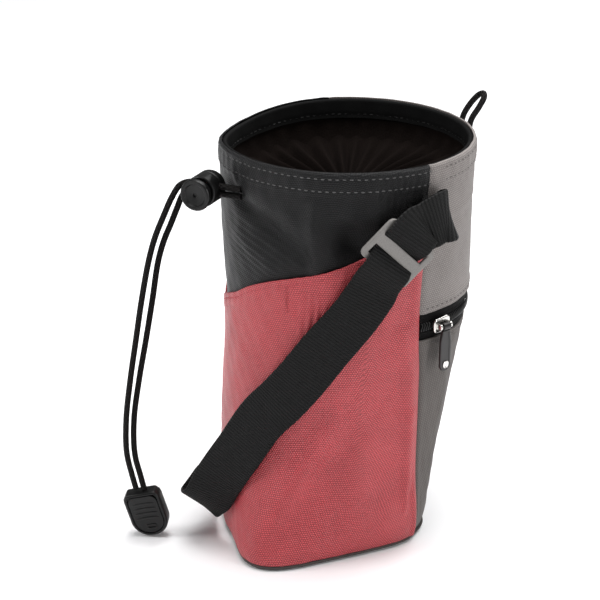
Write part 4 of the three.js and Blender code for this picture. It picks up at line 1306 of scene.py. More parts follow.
@dataclass
class Shell(Assembly):
    """The sewn cloth body: front and back walls, pocket, zip tape and base."""

    zip_height: float = 127.0
    zip_width: float = 13.4
    tape_trim: float = 0.5
    coil_pitch: float = 1.4
    coil_reach: float = 2.1
    coil_radius: float = 0.42
    base_middle: float = 12.7
    bar_tack_angle: float = 41.5
    bar_tack_drop: float = 15.0
    bar_tack_swing: float = 0.75

    def __post_init__(self) -> None:
        """Lays out the panels from the body's form."""
        form = self.form
        foot = form.base_thickness + form.gap
        self.front = UpperFront(
            form, foot, trim=0.02, rows=104, fine_from=0.62, folds=self.front_folds(),
            roll=SeamRoll(0.5, 3.2, 0.3),
        )
        self.pocket = Pocket(
            form, foot, trim=1.0, columns=250, rows=130, offset=form.gap + form.cloth,
            folds=self.pocket_folds(), roll=SeamRoll(0.9, 3.4, 0.9), unevenness=0.3,
        )
        self.back = UpperBack(
            form, self.zip_height + self.zip_width / 2.0 + form.gap, behind=True, columns=150, rows=70,
            folds=self.back_folds(), roll=SeamRoll(0.4, 3.2, 0.5),
        )
        self.lower_back = LowerBack(
            form, foot, behind=True, columns=150, rows=80, folds=self.lower_back_folds(),
            roll=SeamRoll(0.5, 3.2, 0.6), high=self.zip_height - self.zip_width / 2.0 - form.gap,
        )

    @staticmethod
    def front_folds() -> tuple[object, ...]:
        """Folds of the black front wall above the pocket."""
        return (
            Fold((53, 192), (54, 160), 3.2, 2.2), Fold((60, 188), (74, 186), 3.0, 1.2),
            Fold((64, 182), (74, 168), 6.0, -2.4), Fold((78, 198), (82, 180), 3.5, 0.8),
            Fold((4, 193), (50, 167), 4.2, -2.6), Fold((22, 196), (48, 182), 6.0, 1.4),
            Fold((12, 170), (36, 158), 5.0, 1.2), Ripple((26, 168), (22, 14), -18, 3.4, 0.3, 0.004),
            Ripple((90, 200), (13, 8), 82, 3.2, 0.4),
        )

    @staticmethod
    def pocket_folds() -> tuple[object, ...]:
        """Folds of the red pocket."""
        return (
            Fold((66, 72), (37, 20), 8.0, 3.2), Fold((80, 84), (54, 24), 12.0, -2.0),
            Fold((93.5, 128), (96, 76), 3.0, 2.0), Fold((96, 80), (100, 22), 3.0, 2.2),
            Fold((86, 118), (90, 30), 5.0, -0.9), Fold((14, 60), (30, 24), 9.0, 0.9),
            Fold((72, 40), (78, 14), 7.0, -0.8), Ripple((48, 20), (20, 11), 10, 3.2, 0.22, 0.006),
            Ripple((53, 140), (5, 14), 88, 4.0, 0.5),
        )

    @staticmethod
    def back_folds() -> tuple[object, ...]:
        """Folds of the grey wall above the zip."""
        return (
            Fold((116, 182), (150, 184), 1.6, 0.35), Fold((117, 178), (168, 180), 2.2, -0.35),
            Fold((128, 150), (134, 170), 6.0, -0.6), Fold((200, 150), (216, 190), 7.0, 0.6),
            Fold((172, 200), (178, 150), 6.0, -0.5),
        )

    @staticmethod
    def lower_back_folds() -> tuple[object, ...]:
        """Folds of the grey wall below the zip."""
        return (
            Fold((124, 110), (130, 30), 6.0, 0.6), Fold((150, 100), (144, 30), 8.0, -0.7),
            Fold((205, 96), (214, 34), 8.0, 0.7), Fold((180, 70), (186, 20), 8.0, -0.5),
        )

    def build(self) -> None:
        """Makes the walls, the zip tape, the base and the rows of stitches."""
        make, looks = self.maker.piece, self.looks
        make("front_wall", self.front.build(), looks.black, slot=Slot.BLACK_CLOTH,
             stands_for=("front_panel",))
        make("pocket_wall", self.pocket.build(), looks.red, slot=Slot.RED_CLOTH,
             stands_for=("front_pocket",))
        # The wall above the zip takes the grey cloth's lighter copy: painted light.
        make("back_wall", self.back.build(), looks.grey, slot=Slot.GREY_CLOTH, stands_for=("back_panel",))
        # The wall below the zip takes the grey cloth's darker copy: painted shade.
        make("back_pocket_wall", self.lower_back.build(), looks.grey_painted_shade, slot=Slot.GREY_CLOTH,
             stands_for=("back_pocket_panel",))
        make("zip_tape_band", self.tape(), looks.tape, slot=Slot.WEBBING, stands_for=("zipper_tape",))
        make("zip_coil_teeth", self.coil(), looks.coil, slot=Slot.BLACK_PLASTIC)
        make("base_tray", self.base(), looks.base, slot=Slot.GREY_CLOTH, stands_for=("base_panel",))
        # The hem stitches take the black thread coloured grey: painted sheen.
        make("front_stitches", self.front_stitches(), looks.black_thread_painted_sheen, slot=Slot.BLACK_CLOTH)
        make("pocket_stitches", self.pocket_stitches(), looks.red_thread, slot=Slot.RED_CLOTH)
        make("back_stitches", self.back_stitches(), looks.grey_thread, slot=Slot.GREY_CLOTH)

    def tape(self) -> Form:
        """The zip's woven tape: a flat band with a low raised cord beside the teeth.

        Returns:
            The closed band.
        """
        low, high = self.zip_height - self.zip_width / 2.0, self.zip_height + self.zip_width / 2.0
        place = np.linspace(-1.0, 1.0, 200)[:, None]
        share = np.linspace(0.0, 1.0, 44)[None]
        z = low + (high - low) * share
        angle = 180.0 + place * (180.0 - self.form.seam(z) - self.tape_trim / MOUTH_DEGREE)
        from_middle = np.abs(z - self.zip_height)
        out = -0.25 + 0.35 * bell(from_middle, 3.3, 0.5) - 0.25 * bell(from_middle, 0.0, 2.2)
        outer = self.form.wall(angle, z, out)
        inner = self.form.wall(angle, z, -self.form.cloth)
        places = np.stack([travelled_over(outer, 0), np.broadcast_to(z, angle.shape)], axis=-1)
        return two_faced(outer, inner, places)

    def coil(self) -> Form:
        """The zip's teeth: a chain of small arched bars, one for each pitch of the tape's length.

        Returns:
            The teeth as one form.
        """
        fine = np.linspace(-0.99, 0.99, 900)
        z = np.full_like(fine, self.zip_height)
        angle = 180.0 + fine * (180.0 - self.form.seam(z))
        line = self.form.wall(angle, z, np.full_like(fine, 0.25))
        normals = self.form.level(angle, z)
        travelled = along(line)
        count = int(travelled[-1] / self.coil_pitch)
        middles = np.linspace(0.6, travelled[-1] - 0.6, count)
        centre = follow(middles, travelled, line)
        out = unit(follow(middles, travelled, normals))
        run = unit(np.gradient(centre, axis=0))
        up = np.cross(out, run)
        up = up * np.sign(up[:, 2:])
        spots = np.linspace(-1.0, 1.0, 7)
        arch = 0.55 * np.sqrt(np.clip(1.0 - spots**2, 0.0, 1.0)) - 0.2
        slant = 0.35 * np.sin(np.pi * spots)
        core = (
            centre[:, None]
            + up[:, None] * (spots * self.coil_reach)[None, :, None]
            + out[:, None] * arch[None, :, None]
            + run[:, None] * slant[None, :, None]
        )
        circle = round_ring(5, self.coil_radius) * np.array([1.0, 0.8])
        return Form.together([swept(ring) for ring in carried(core, circle, run[:, None], out[:, None])])

    def base(self) -> Form:
        """The base: a low tray under the walls, its rim rounded.

        Returns:
            The closed tray.
        """
        angles = np.arange(0.0, 360.0, 1.5)
        rim = self.form.gap + self.form.cloth + 0.15
        layers = [(1.6, 0.0), (0.9, 0.1), (0.35, 0.45), (0.05, 1.0), (0.0, 1.6), (0.1, 2.2),
                  (0.5, self.form.base_thickness)]
        rings = [self.form.wall(angles, np.full_like(angles, height), np.full_like(angles, rim - inset))
                 for inset, height in layers]

        def drawn_in(ring: Array, share: float) -> Array:
            """A ring made smaller towards the base's middle."""
            middle = np.array([0.0, -self.base_middle * (1.0 - share), 0.0])
            return ring * np.array([share, share, 1.0]) + middle

        under = [drawn_in(rings[0], share) for share in (0.5, 0.9)]
        inward = [drawn_in(rings[-1], share) for share in (0.9, 0.5)]
        stack = np.stack(under + rings + inward)
        sides = stack.shape[1]
        turn = np.linspace(0.0, 340.0, sides + 1)
        rise = along(stack[:, 0])
        return swept(stack, np.stack(np.meshgrid(turn, rise), axis=-1))

    def sewn(self, panel: Panel, angle: Array, z: object, row: StitchRow = StitchRow()) -> Form:
        """Stitches along a line on a panel's finished face, its height a number or one for each angle."""
        z = np.broadcast_to(z, angle.shape)
        return row.build(panel.surface(angle, z), panel.form.normal(angle, z))

    def front_stitches(self) -> Form:
        """The two rows round the black hem."""
        panel, angle = self.front, np.linspace(-106.0, 106.0, 500)
        return Form.together([self.sewn(panel, angle, self.form.height - row) for row in panel.stitch_rows])

    def pocket_stitches(self) -> Form:
        """The row under the pocket's edge, and the two zigzag bar-tacks down from it."""
        panel = self.pocket
        angle = np.linspace(-97.0, 97.0, 600)
        row = StitchRow(pitch=3.1, length=2.2)
        forms = [self.sewn(panel, angle, panel.top(angle) - panel.stitch_row, row)]
        down = np.linspace(0.0, 1.0, 120)
        swing = signed_power(np.sin(down * 2.0 * np.pi * 8.0), 0.5)
        for side in (-1.0, 1.0):
            zigzag = side * (self.bar_tack_angle + self.bar_tack_swing * swing)
            top = panel.top(np.full_like(down, side * self.bar_tack_angle))
            fall = top - panel.stitch_row - self.bar_tack_drop * down
            forms.append(self.sewn(panel, zigzag, fall, StitchRow(pitch=1.15, length=1.5, radius=0.24)))
        return Form.together(forms)

    def back_stitches(self) -> Form:
        """The grey hem's rows, and the rows above and below the zip."""
        hem, zip_row = np.linspace(113.0, 247.0, 340), np.linspace(103.5, 256.5, 400)
        forms = [self.sewn(self.back, hem, self.form.height - row) for row in self.back.stitch_rows]
        forms.append(self.sewn(self.back, zip_row, self.back.foot + 2.6))
        forms.append(self.sewn(self.lower_back, zip_row, self.lower_back.high - 2.4))
        return Form.together(forms)


@dataclass
class Mouth(Assembly):
    """The inside of the mouth: the stiff facing band, and the gathered fleece below it."""

    facing_height: float = 10.5
    facing_thickness: float = 2.2
    band_radius: float = 58.0
    fleece: float = 1.5
    funnel_depth: float = 27.0
    throat_radius: float = 8.5
    pleats: int = 34
    pleat_height: float = 2.6
    path: Table = Table(
        ("reach", "drop", "gather"),
        (
            (0.020, 0.00, 0.0), (0.050, 0.20, 0.25), (0.110, 0.38, 0.55), (0.240, 0.50, 0.9),
            (0.560, 0.60, 1.0), (0.900, 0.73, 0.6), (1.000, 1.00, 0.3),
        ),
    )

    def build(self) -> None:
        """Makes the facing, its stitches and the funnel."""
        make, looks = self.maker.piece, self.looks
        make("mouth_band", self.facing(), looks.facing, slot=Slot.BLACK_CLOTH, stands_for=("mouth_facing",))
        make("band_stitches", self.facing_stitches(), looks.coil, slot=Slot.BLACK_CLOTH)
        make("gathered_funnel", self.funnel(), looks.fleece, slot=Slot.FLEECE,
             stands_for=("lining_funnel",))

    def facing(self) -> Form:
        """The facing: a band round the inside of the mouth, rolled over at its top.

        Returns:
            The closed ring.
        """
        form = self.form
        angle = np.arange(0.0, 360.0, 1.0)[:, None]
        outer_at = -form.cloth - form.gap
        high, low = form.height - 0.5, form.height - self.facing_height
        turn = np.linspace(0.0, np.pi, 9)
        half = self.facing_thickness / 2.0
        z = np.concatenate([np.linspace(low, high - half, 12), high - half + half * np.sin(turn[1:5])])
        wide = np.concatenate([np.full(12, half), half * np.cos(turn[1:5])])
        wave = 0.25 * np.sin(np.radians(angle) * 23.0 + 1.0) * smooth(0.0, 6.0, high - z[None])
        pull = 0.35 * bell(z - low, 2.0, 0.7)[None]
        middle = outer_at - half
        outer = form.wall(*np.broadcast_arrays(angle, z[None], middle + wide[None]))
        inner = form.wall(*np.broadcast_arrays(angle, z[None], middle - wide[None] + pull + wave * 0.6))
        span = np.concatenate([angle[:, 0], [360.0]]) * np.pi * self.band_radius / 180.0
        uv = np.stack(np.broadcast_arrays(span[:, None], z[None]), axis=-1)
        return two_faced(outer, inner, uv, ring=True)

    def facing_stitches(self) -> Form:
        """The row of stitches along the facing's foot, on its inside."""
        form = self.form
        angle = np.linspace(0.0, 359.0, 720)
        z = np.full_like(angle, form.height - self.facing_height + 2.0)
        inset = -form.cloth - form.gap - self.facing_thickness + 0.35
        line = form.wall(angle, z, np.full_like(angle, inset))
        return StitchRow(radius=0.26).build(line, -form.normal(angle, z))

    def funnel(self) -> Form:
        """The funnel: the path of its table turned round the mouth, rippled by pleats.

        The pleats are unevenly spaced: their phase is the angle plus slow sine waves. Their crests are
        narrow and their valleys wide, and half of them die out towards the throat.

        Returns:
            The closed ring.
        """
        form = self.form
        angle = np.arange(0.0, 360.0, 0.75)
        turn = np.radians(angle)
        top = form.height - self.facing_height - form.gap - self.fleece * 0.3
        start = form.wall(angle, np.full_like(angle, top), np.full_like(angle, -form.cloth - form.gap))
        radius = np.hypot(start[:, 0], start[:, 1])[:, None]
        direction = np.stack([start[:, 0], start[:, 1]], axis=1) / radius
        data = np.array(self.path.rows)
        reach = np.interp(np.linspace(0.0, 1.0, 60), np.linspace(0.0, 1.0, len(data)), data[:, 0])[None]
        drop = self.path.read("drop", reach)
        gather = self.path.read("gather", reach)
        path_r = radius + (self.throat_radius + self.fleece - radius) * reach
        path_z = start[:, 2:] - drop * self.funnel_depth
        phase = turn * self.pleats / 2.0
        phase = phase + 0.55 * np.sin(3.0 * turn + 0.7) + 0.4 * np.sin(7.0 * turn + 2.0)
        fine = phase * 2.0 + 0.5 * np.sin(5.0 * turn)
        crest = 2.0 * np.abs(np.cos(phase)) ** 1.6 - 1.0
        small = np.cos(fine)
        swing = 0.75 + 0.25 * np.sin(4.0 * turn + 1.2)
        inner_share = smooth(0.35, 1.0, reach)
        wide_part = crest[:, None] * (0.6 + 0.4 * inner_share)
        fine_part = 0.45 * small[:, None] * (1.0 - inner_share)
        ripple = self.pleat_height * swing[:, None] * (wide_part + fine_part)
        run_r, run_z = np.gradient(path_r, axis=1), np.gradient(path_z, axis=1)
        size = np.hypot(run_r, run_z)
        out_r, out_z = run_z / size, -run_r / size
        lift = ripple * gather

        def at(height: Array) -> Array:
            """Points a height over the path, on the side of the mouth."""
            r, z = path_r - out_r * height, path_z + np.abs(out_z) * height
            return np.stack([direction[:, :1] * r, direction[:, 1:] * r, z], axis=-1)

        upper, lower = at(lift + self.fleece), at(lift)
        span = np.concatenate([angle, [360.0]])
        uv = np.stack(np.broadcast_arrays(span[:, None], np.linspace(0.0, 60.0, 60)[None]), axis=-1)
        return two_faced(upper, lower, uv, ring=True)


@dataclass
class StrapLoop(Assembly):
    """The webbing loop from side seam to side seam, with its three-bar slider."""

    width: float = 25.0
    thickness: float = 1.6
    clearance: float = 0.9
    stand: float = 12.5
    fold: float = 4.6
    glide_width: float = 31.0
    glide_length: float = 23.0
    glide_thickness: float = 1.8
    glide_bar: float = 3.2
    glide_side: float = 3.1
    glide_centre_bar: float = 6.0
    glide_turn: float = 8.0
    weave_depth: float = 2.3
    weave_fade: float = 13.0
    cup: float = 0.18
    straight_reach: float = 2.6
    front_height: float = 0.102
    front_width: tuple[float, float, float] = (0.0, 0.73, -0.68)
    glide_angle: float = 87.5
    route: Table = Table(
        ("angle", "height", "stand", "tip"),
        (
            (5.5, 0.130, 0.90, 0.90), (11.5, 0.198, 0.66, 0.62), (20.5, 0.290, 0.36, 0.30),
            (31.5, 0.382, 0.12, 0.10), (41.5, 0.440, 0.02, 0.0), (50.5, 0.500, 0.0, 0.0),
            (61, 0.585, 0.0, 0.0), (71.8, 0.664, 0.02, 0.0), (80.2, 0.742, 0.12, 0.0),
            (84.3, 0.784, 0.20, 0.0), (87.5, 0.818, 0.24, 0.0), (92, 0.846, 0.26, 0.0),
            (97, 0.868, 0.28, 0.0),
        ),
    )
    left_route: Table = Table(
        ("angle", "height", "stand", "tip"),
        (
            (-8, 0.104, 0.55, 0.60), (-19, 0.094, 0.20, 0.25), (-31, 0.096, 0.02, 0.05),
            (-43, 0.118, 0.0, 0.0), (-54, 0.170, 0.0, 0.0), (-64, 0.265, 0.0, 0.0),
            (-73, 0.390, 0.0, 0.0), (-81, 0.545, 0.0, 0.0), (-89, 0.710, 0.0, 0.0),
            (-95, 0.840, 0.0, 0.0),
        ),
    )
    turn_back: Table = Table(
        ("angle", "rise", "out"),
        (
            (101, 2.2, 1.0), (106.5, 3.9, 1.0), (109.5, 3.6, 0.86), (110.8, 3.0, 0.5),
            (109.5, 2.2, 0.12), (106.5, 1.2, 0.0), (101, -0.8, 0.0),
        ),
    )
    turn_width: tuple[float, float, float] = (0.04, 0.26, -0.96)
    sewn: tuple[float, float] = (100.0, 12.0)

    def __post_init__(self) -> None:
        """Places the stations of the strap's centre line and the frame of its slider."""
        form = self.form
        base = form.gap + form.cloth + self.clearance + self.thickness / 2.0
        front_width = unit(np.array(self.front_width))
        low = self.front_height * form.height
        front = form.wall(np.array([0.0]), np.array([low]), np.array([base + self.stand]))[0]

        def half(table: Table, turn: float) -> tuple[Array, Array, float]:
            """Places and width directions of one half, from the front up, and its last height."""
            rows = np.array(table.rows)
            angle, z, stand, tip = rows[:, 0], rows[:, 1] * form.height, rows[:, 2], rows[:, 3]
            places = form.wall(angle, z, base + stand * self.stand)
            before, after = np.vstack([front, places[:-1]]), np.vstack([places[1:], places[-1:]])
            across = turn * unit(np.cross(form.normal(angle, z), unit(before - after)))
            return places, unit(across + (front_width - across) * tip[:, None]), float(z[-1])

        right, right_width, right_top = half(self.route, 1.0)
        left, left_width, left_top = half(self.left_route, -1.0)
        back = np.array(self.turn_back.rows)
        folded = form.wall(back[:, 0], right_top + back[:, 1], base + self.fold * back[:, 2])
        folded_width = np.tile(unit(np.array(self.turn_width)), (len(back), 1))
        sewn = form.wall(np.array([-self.sewn[0]]), np.array([left_top + self.sewn[1]]), np.array([base]))
        self.places = np.vstack([sewn, left[::-1], front, right, folded])
        self.widths = np.vstack([left_width[-1:], left_width[::-1], front_width, right_width, folded_width])
        glide_row = int(np.argmin(np.abs(np.array(self.route.rows)[:, 0] - self.glide_angle)))
        self.glide_share = (glide_row + len(left) + 2) / (len(self.places) - 1)
        frame_at = self.frames(np.array([self.glide_share]))
        self.glide_place, self.glide_run, self.glide_across, self.glide_out = (part[0] for part in frame_at)

    def frames(self, share: Array) -> tuple[Array, Array, Array, Array]:
        """Places, runs, width directions and outward faces at shares of the stations."""
        place = spline(self.places, share)
        after, before = np.minimum(1.0, share + 1e-3), np.maximum(0.0, share - 1e-3)
        run = unit(spline(self.places, after) - spline(self.places, before))
        width = spline(self.widths, share)
        width = unit(width - run * np.sum(width * run, axis=1, keepdims=True))
        return place, run, width, np.cross(width, run)

    def weave(self, distance: Array) -> Array:
        """How far the strap rises over the slider's outer bars and dips under its centre bar.

        Between the outer bars it is a cosine of one wave, lowest in the middle, and beyond them half a
        cosine down to nothing.

        Args:
            distance: Distance from the slider's middle along the strap.

        Returns:
            The lift in millimetres.
        """
        bar = (self.glide_length - self.glide_bar) / 2.0 - 0.9
        d = np.abs(distance)
        inside = -self.weave_depth * np.cos(np.pi * d / bar)
        past = np.clip(d - bar, 0.0, self.weave_fade)
        outside = self.weave_depth * (0.5 + 0.5 * np.cos(np.pi * past / self.weave_fade))
        return np.where(d < bar, inside, outside)

    def section(self, sides: int = 22) -> Array:
        """The webbing's section: a flat oval with a full rounded edge, (points, 2) in halves of its
        width and thickness."""
        flat = np.linspace(-0.93, 0.93, sides)
        edge = np.array([0.975, 1.0, 0.975])
        upper = np.stack([flat, np.ones(sides)], axis=1)
        right = np.stack([edge, np.array([0.7, 0.0, -0.7])], axis=1)
        return np.concatenate([upper, right, -upper, -right])

    def webbing(self) -> Form:
        """The strap: its section carried along the stations, straight and flat where it passes the
        slider.

        Returns:
            The closed strap, its flat places as distance across and along it.
        """
        share = np.linspace(0.0, 1.0, 1500)
        place, run, width, face = self.frames(share)
        distance = (place - self.glide_place) @ self.glide_run
        near = np.abs(share - self.glide_share) < self.straight_reach / len(self.places)
        lift = np.where(near, self.weave(distance), 0.0)[:, None]
        slope = (self.weave(distance + 0.1) - self.weave(distance - 0.1)) / 0.2
        slope = np.where(near, slope, 0.0)[:, None]
        flat = 1.0 - smooth(self.glide_length / 2.0, self.glide_length, np.abs(distance))
        flat = np.where(near, flat, 0.0)[:, None]
        place = place + flat * (self.glide_place + distance[:, None] * self.glide_run - place)
        width = unit(width + flat * (self.glide_across - width))
        face = unit(face + flat * (self.glide_out - face))
        run = unit(run + flat * (self.glide_run - run))
        outward = unit(face - run * slope)
        centre = place + face * lift
        keep = evenly_picked(centre, 700)
        centre, width, outward = centre[keep], width[keep], outward[keep]
        section = self.section()
        ring = section * np.array([self.width / 2.0, self.thickness / 2.0])
        ring[:, 1] += self.cup * (1.0 - section[:, 0] ** 2)
        across = np.concatenate([ring[:, 0], ring[:1, 0]])
        uv = np.stack(np.meshgrid(across, along(centre)), axis=-1)
        return swept(carried(centre, ring, width, outward), uv)

    def slider(self) -> Form:
        """The slider: a rounded bar carried round its frame, and one across its middle.

        Returns:
            The frame and the bar as one form.
        """
        w = (self.glide_width - self.glide_side) / 2.0
        h = (self.glide_length - self.glide_bar) / 2.0
        c, s = np.cos(np.radians(self.glide_turn)), np.sin(np.radians(self.glide_turn))
        across = c * self.glide_across - s * self.glide_run
        lengthways = c * self.glide_run + s * self.glide_across
        outline = rounded_box(2.0 * w, 2.0 * h, 1.4, 6)
        path = np.concatenate([outline, outline[:1]])
        loop = evenly(np.column_stack([path, np.zeros(len(path))]), 161)[:-1]
        world = self.glide_place + loop[:, :1] * across + loop[:, 1:2] * lengthways
        tangents = unit(np.roll(world, -1, axis=0) - np.roll(world, 1, axis=0))
        side = unit(np.cross(tangents, self.glide_out))
        section = soft_ring(20, self.glide_side, self.glide_thickness, 5.0)
        rings = carried(world, section, side, self.glide_out)
        turn = np.linspace(0.0, 1.0, len(section) + 1)
        uv = np.stack(np.meshgrid(turn, np.linspace(0.0, 100.0, len(world) + 1)), axis=-1)
        frame_bar = swept(rings, uv, closed=True)
        reach = np.linspace(-w, w, 30)
        line = self.glide_place + reach[:, None] * across
        swell = 1.0 + 0.25 * smooth(0.82, 1.0, np.abs(reach) / w)
        bar_section = soft_ring(16, self.glide_centre_bar, self.glide_thickness, 4.0)
        bar_rings = bar_section * np.stack([swell, np.ones_like(swell)], axis=1)[:, None]
        bar = carried(line, bar_rings, lengthways, self.glide_out)
        return Form.together([frame_bar, swept(bar)])

    def build(self) -> None:
        """Makes the strap and its slider."""
        make, looks = self.maker.piece, self.looks
        make("strap_webbing", self.webbing(), looks.webbing, slot=Slot.WEBBING, stands_for=("strap",))
        make("strap_glide", self.slider(), looks.zinc, slot=Slot.SLIDER_METAL, stands_for=("strap_slider",))


@dataclass
class Drawcord:
    """The drawcord's two free ends, the cord lock that grips them and the clip that joins them."""

    looks: Finishes
    maker: Maker
    diameter: float = 3.0
    lock_diameter: float = 15.6
    lock_length: float = 13.0
    lock_wall: float = 1.6
    lock_yaw: float = 43.0
    lock_height: float = 191.0
    lock_standoff: float = 72.5
    travel: float = 3.0
    cap: float = 2.8
    dimple: float = 1.0
    gap: float = 0.3
    route_a: tuple[tuple[float, float, float], ...] = (
        (13.5, -59.9, 192.85), (9.5, -63.6, 192.85), (4.4, -68.4, 192.85), (0, -72.5, 192.85),
        (-3.7, -75.95, 192.85), (-7.1, -79.1, 192.7), (-9.2, -82.9, 190.7), (-8.2, -87.3, 185.6),
        (-7.2, -91.8, 177.6), (-7.2, -96.6, 167.0), (-7.7, -100.0, 155.4), (-9.0, -104.0, 134.6),
        (-10.4, -107.3, 113.2), (-11.8, -110.6, 91.5), (-13.1, -113.2, 69.2), (-14.3, -113.3, 50.0),
        (-15.2, -110.8, 36.5), (-15.6, -108.9, 28.1),
    )
    route_b: tuple[tuple[float, float, float], ...] = (
        (13.5, -59.9, 189.15), (9.5, -63.6, 189.15), (4.4, -68.4, 189.15), (0, -72.5, 189.15),
        (-3.7, -75.95, 189.15), (-6.9, -78.9, 188.9), (-8.0, -81.9, 186.2), (-7.2, -85.0, 180.6),
        (-6.8, -88.6, 172.9), (-7.0, -92.2, 164.9), (-7.7, -95.2, 154.7), (-9.0, -98.6, 133.6),
        (-10.4, -102.2, 112.3), (-11.8, -106.1, 90.6), (-13.0, -109.2, 68.4), (-13.6, -109.3, 49.0),
        (-13.6, -106.8, 36.0), (-13.4, -105.1, 27.6),
    )

    def lock_axis(self) -> Array:
        """Direction of the lock's button."""
        yaw = np.radians(self.lock_yaw)
        return np.array([np.sin(yaw), -np.cos(yaw), 0.0])

    def lock_centre(self) -> Array:
        """Middle of the lock's barrel."""
        return np.array([0.0, -self.lock_standoff, self.lock_height])

    def cord_pieces(self) -> None:
        for letter, route in (("a", self.route_a), ("b", self.route_b)):
            points = np.array(route)
            line = evenly(spline(points, np.linspace(0.0, 1.0, 1600)), 420)
            form = tube(line, round_ring(18, self.diameter / 2.0), np.array([0.0, 0.0, 1.0]))
            obj = self.maker.piece(f"cord_end_{letter}", form, self.looks.cord, slot=Slot.CORD,
                                   stands_for=(f"draw_cord_{letter}",))

    def barrel(self) -> Form:
        """The lock's barrel: an open cup with a rolled mouth and a rounded foot."""
        r, half, wall = self.lock_diameter / 2.0, self.lock_length / 2.0, self.lock_wall
        bore = r - wall
        profile = [(0.4, -half), (r - 2.2, -half), (r - 1.1, -half + 0.25), (r - 0.35, -half + 0.9),
                   (r, -half + 2.0), (r, -half + 5.0), (r - 0.18, -half + 5.3), (r - 0.18, -half + 6.0),
                   (r, -half + 6.3), (r, half - 1.2), (r - 0.2, half - 0.4), (r - 0.7, half),
                   (bore + 0.3, half), (bore, half - 0.4), (bore, -half + wall + 0.6),
                   (bore - 0.6, -half + wall), (0.4, -half + wall)]
        return turned(profile, self.lock_centre(), self.lock_axis(), 64)

    def button(self) -> Form:
        """The lock's button: a stem in the barrel, a rounded cap, and a dish with a small dimple."""
        r, half = self.lock_diameter / 2.0, self.lock_length / 2.0
        stem = r - self.lock_wall - 0.35
        foot = -half + self.lock_wall + self.travel + self.gap
        low = half + self.travel + self.gap
        high = low + self.cap
        dish = high - self.dimple
        profile = [(0.3, foot), (stem - 0.3, foot), (stem, foot + 0.3), (stem, low), (r - 0.8, low),
                   (r - 0.2, low + 0.3), (r, low + 0.9), (r, high - 1.1), (r - 0.25, high - 0.45),
                   (r - 0.8, high), (r - 1.7, high), (r - 2.1, high - 0.12), (r - 2.7, dish + 0.1),
                   (r - 3.1, dish), (1.5, dish), (1.15, dish - 0.15),
                   (0.95, dish - 0.7), (0.6, dish - 0.85), (0.25, dish - 0.85)]
        return turned(profile, self.lock_centre(), self.lock_axis(), 72)

    def build(self) -> None:
        """Makes the clip, the cords and the lock."""
        clip = EndClip(self.looks, self.maker).build()
        self.cord_pieces()
        make, looks = self.maker.piece, self.looks
        make("lock_barrel", self.barrel(), looks.plastic, slot=Slot.BLACK_PLASTIC,
             stands_for=("cord_lock_barrel",), crisp=30.0)
        make("lock_push_button", self.button(), looks.plastic, Body.BUTTON, Slot.BLACK_PLASTIC,
             ("cord_lock_button",), crisp=30.0)


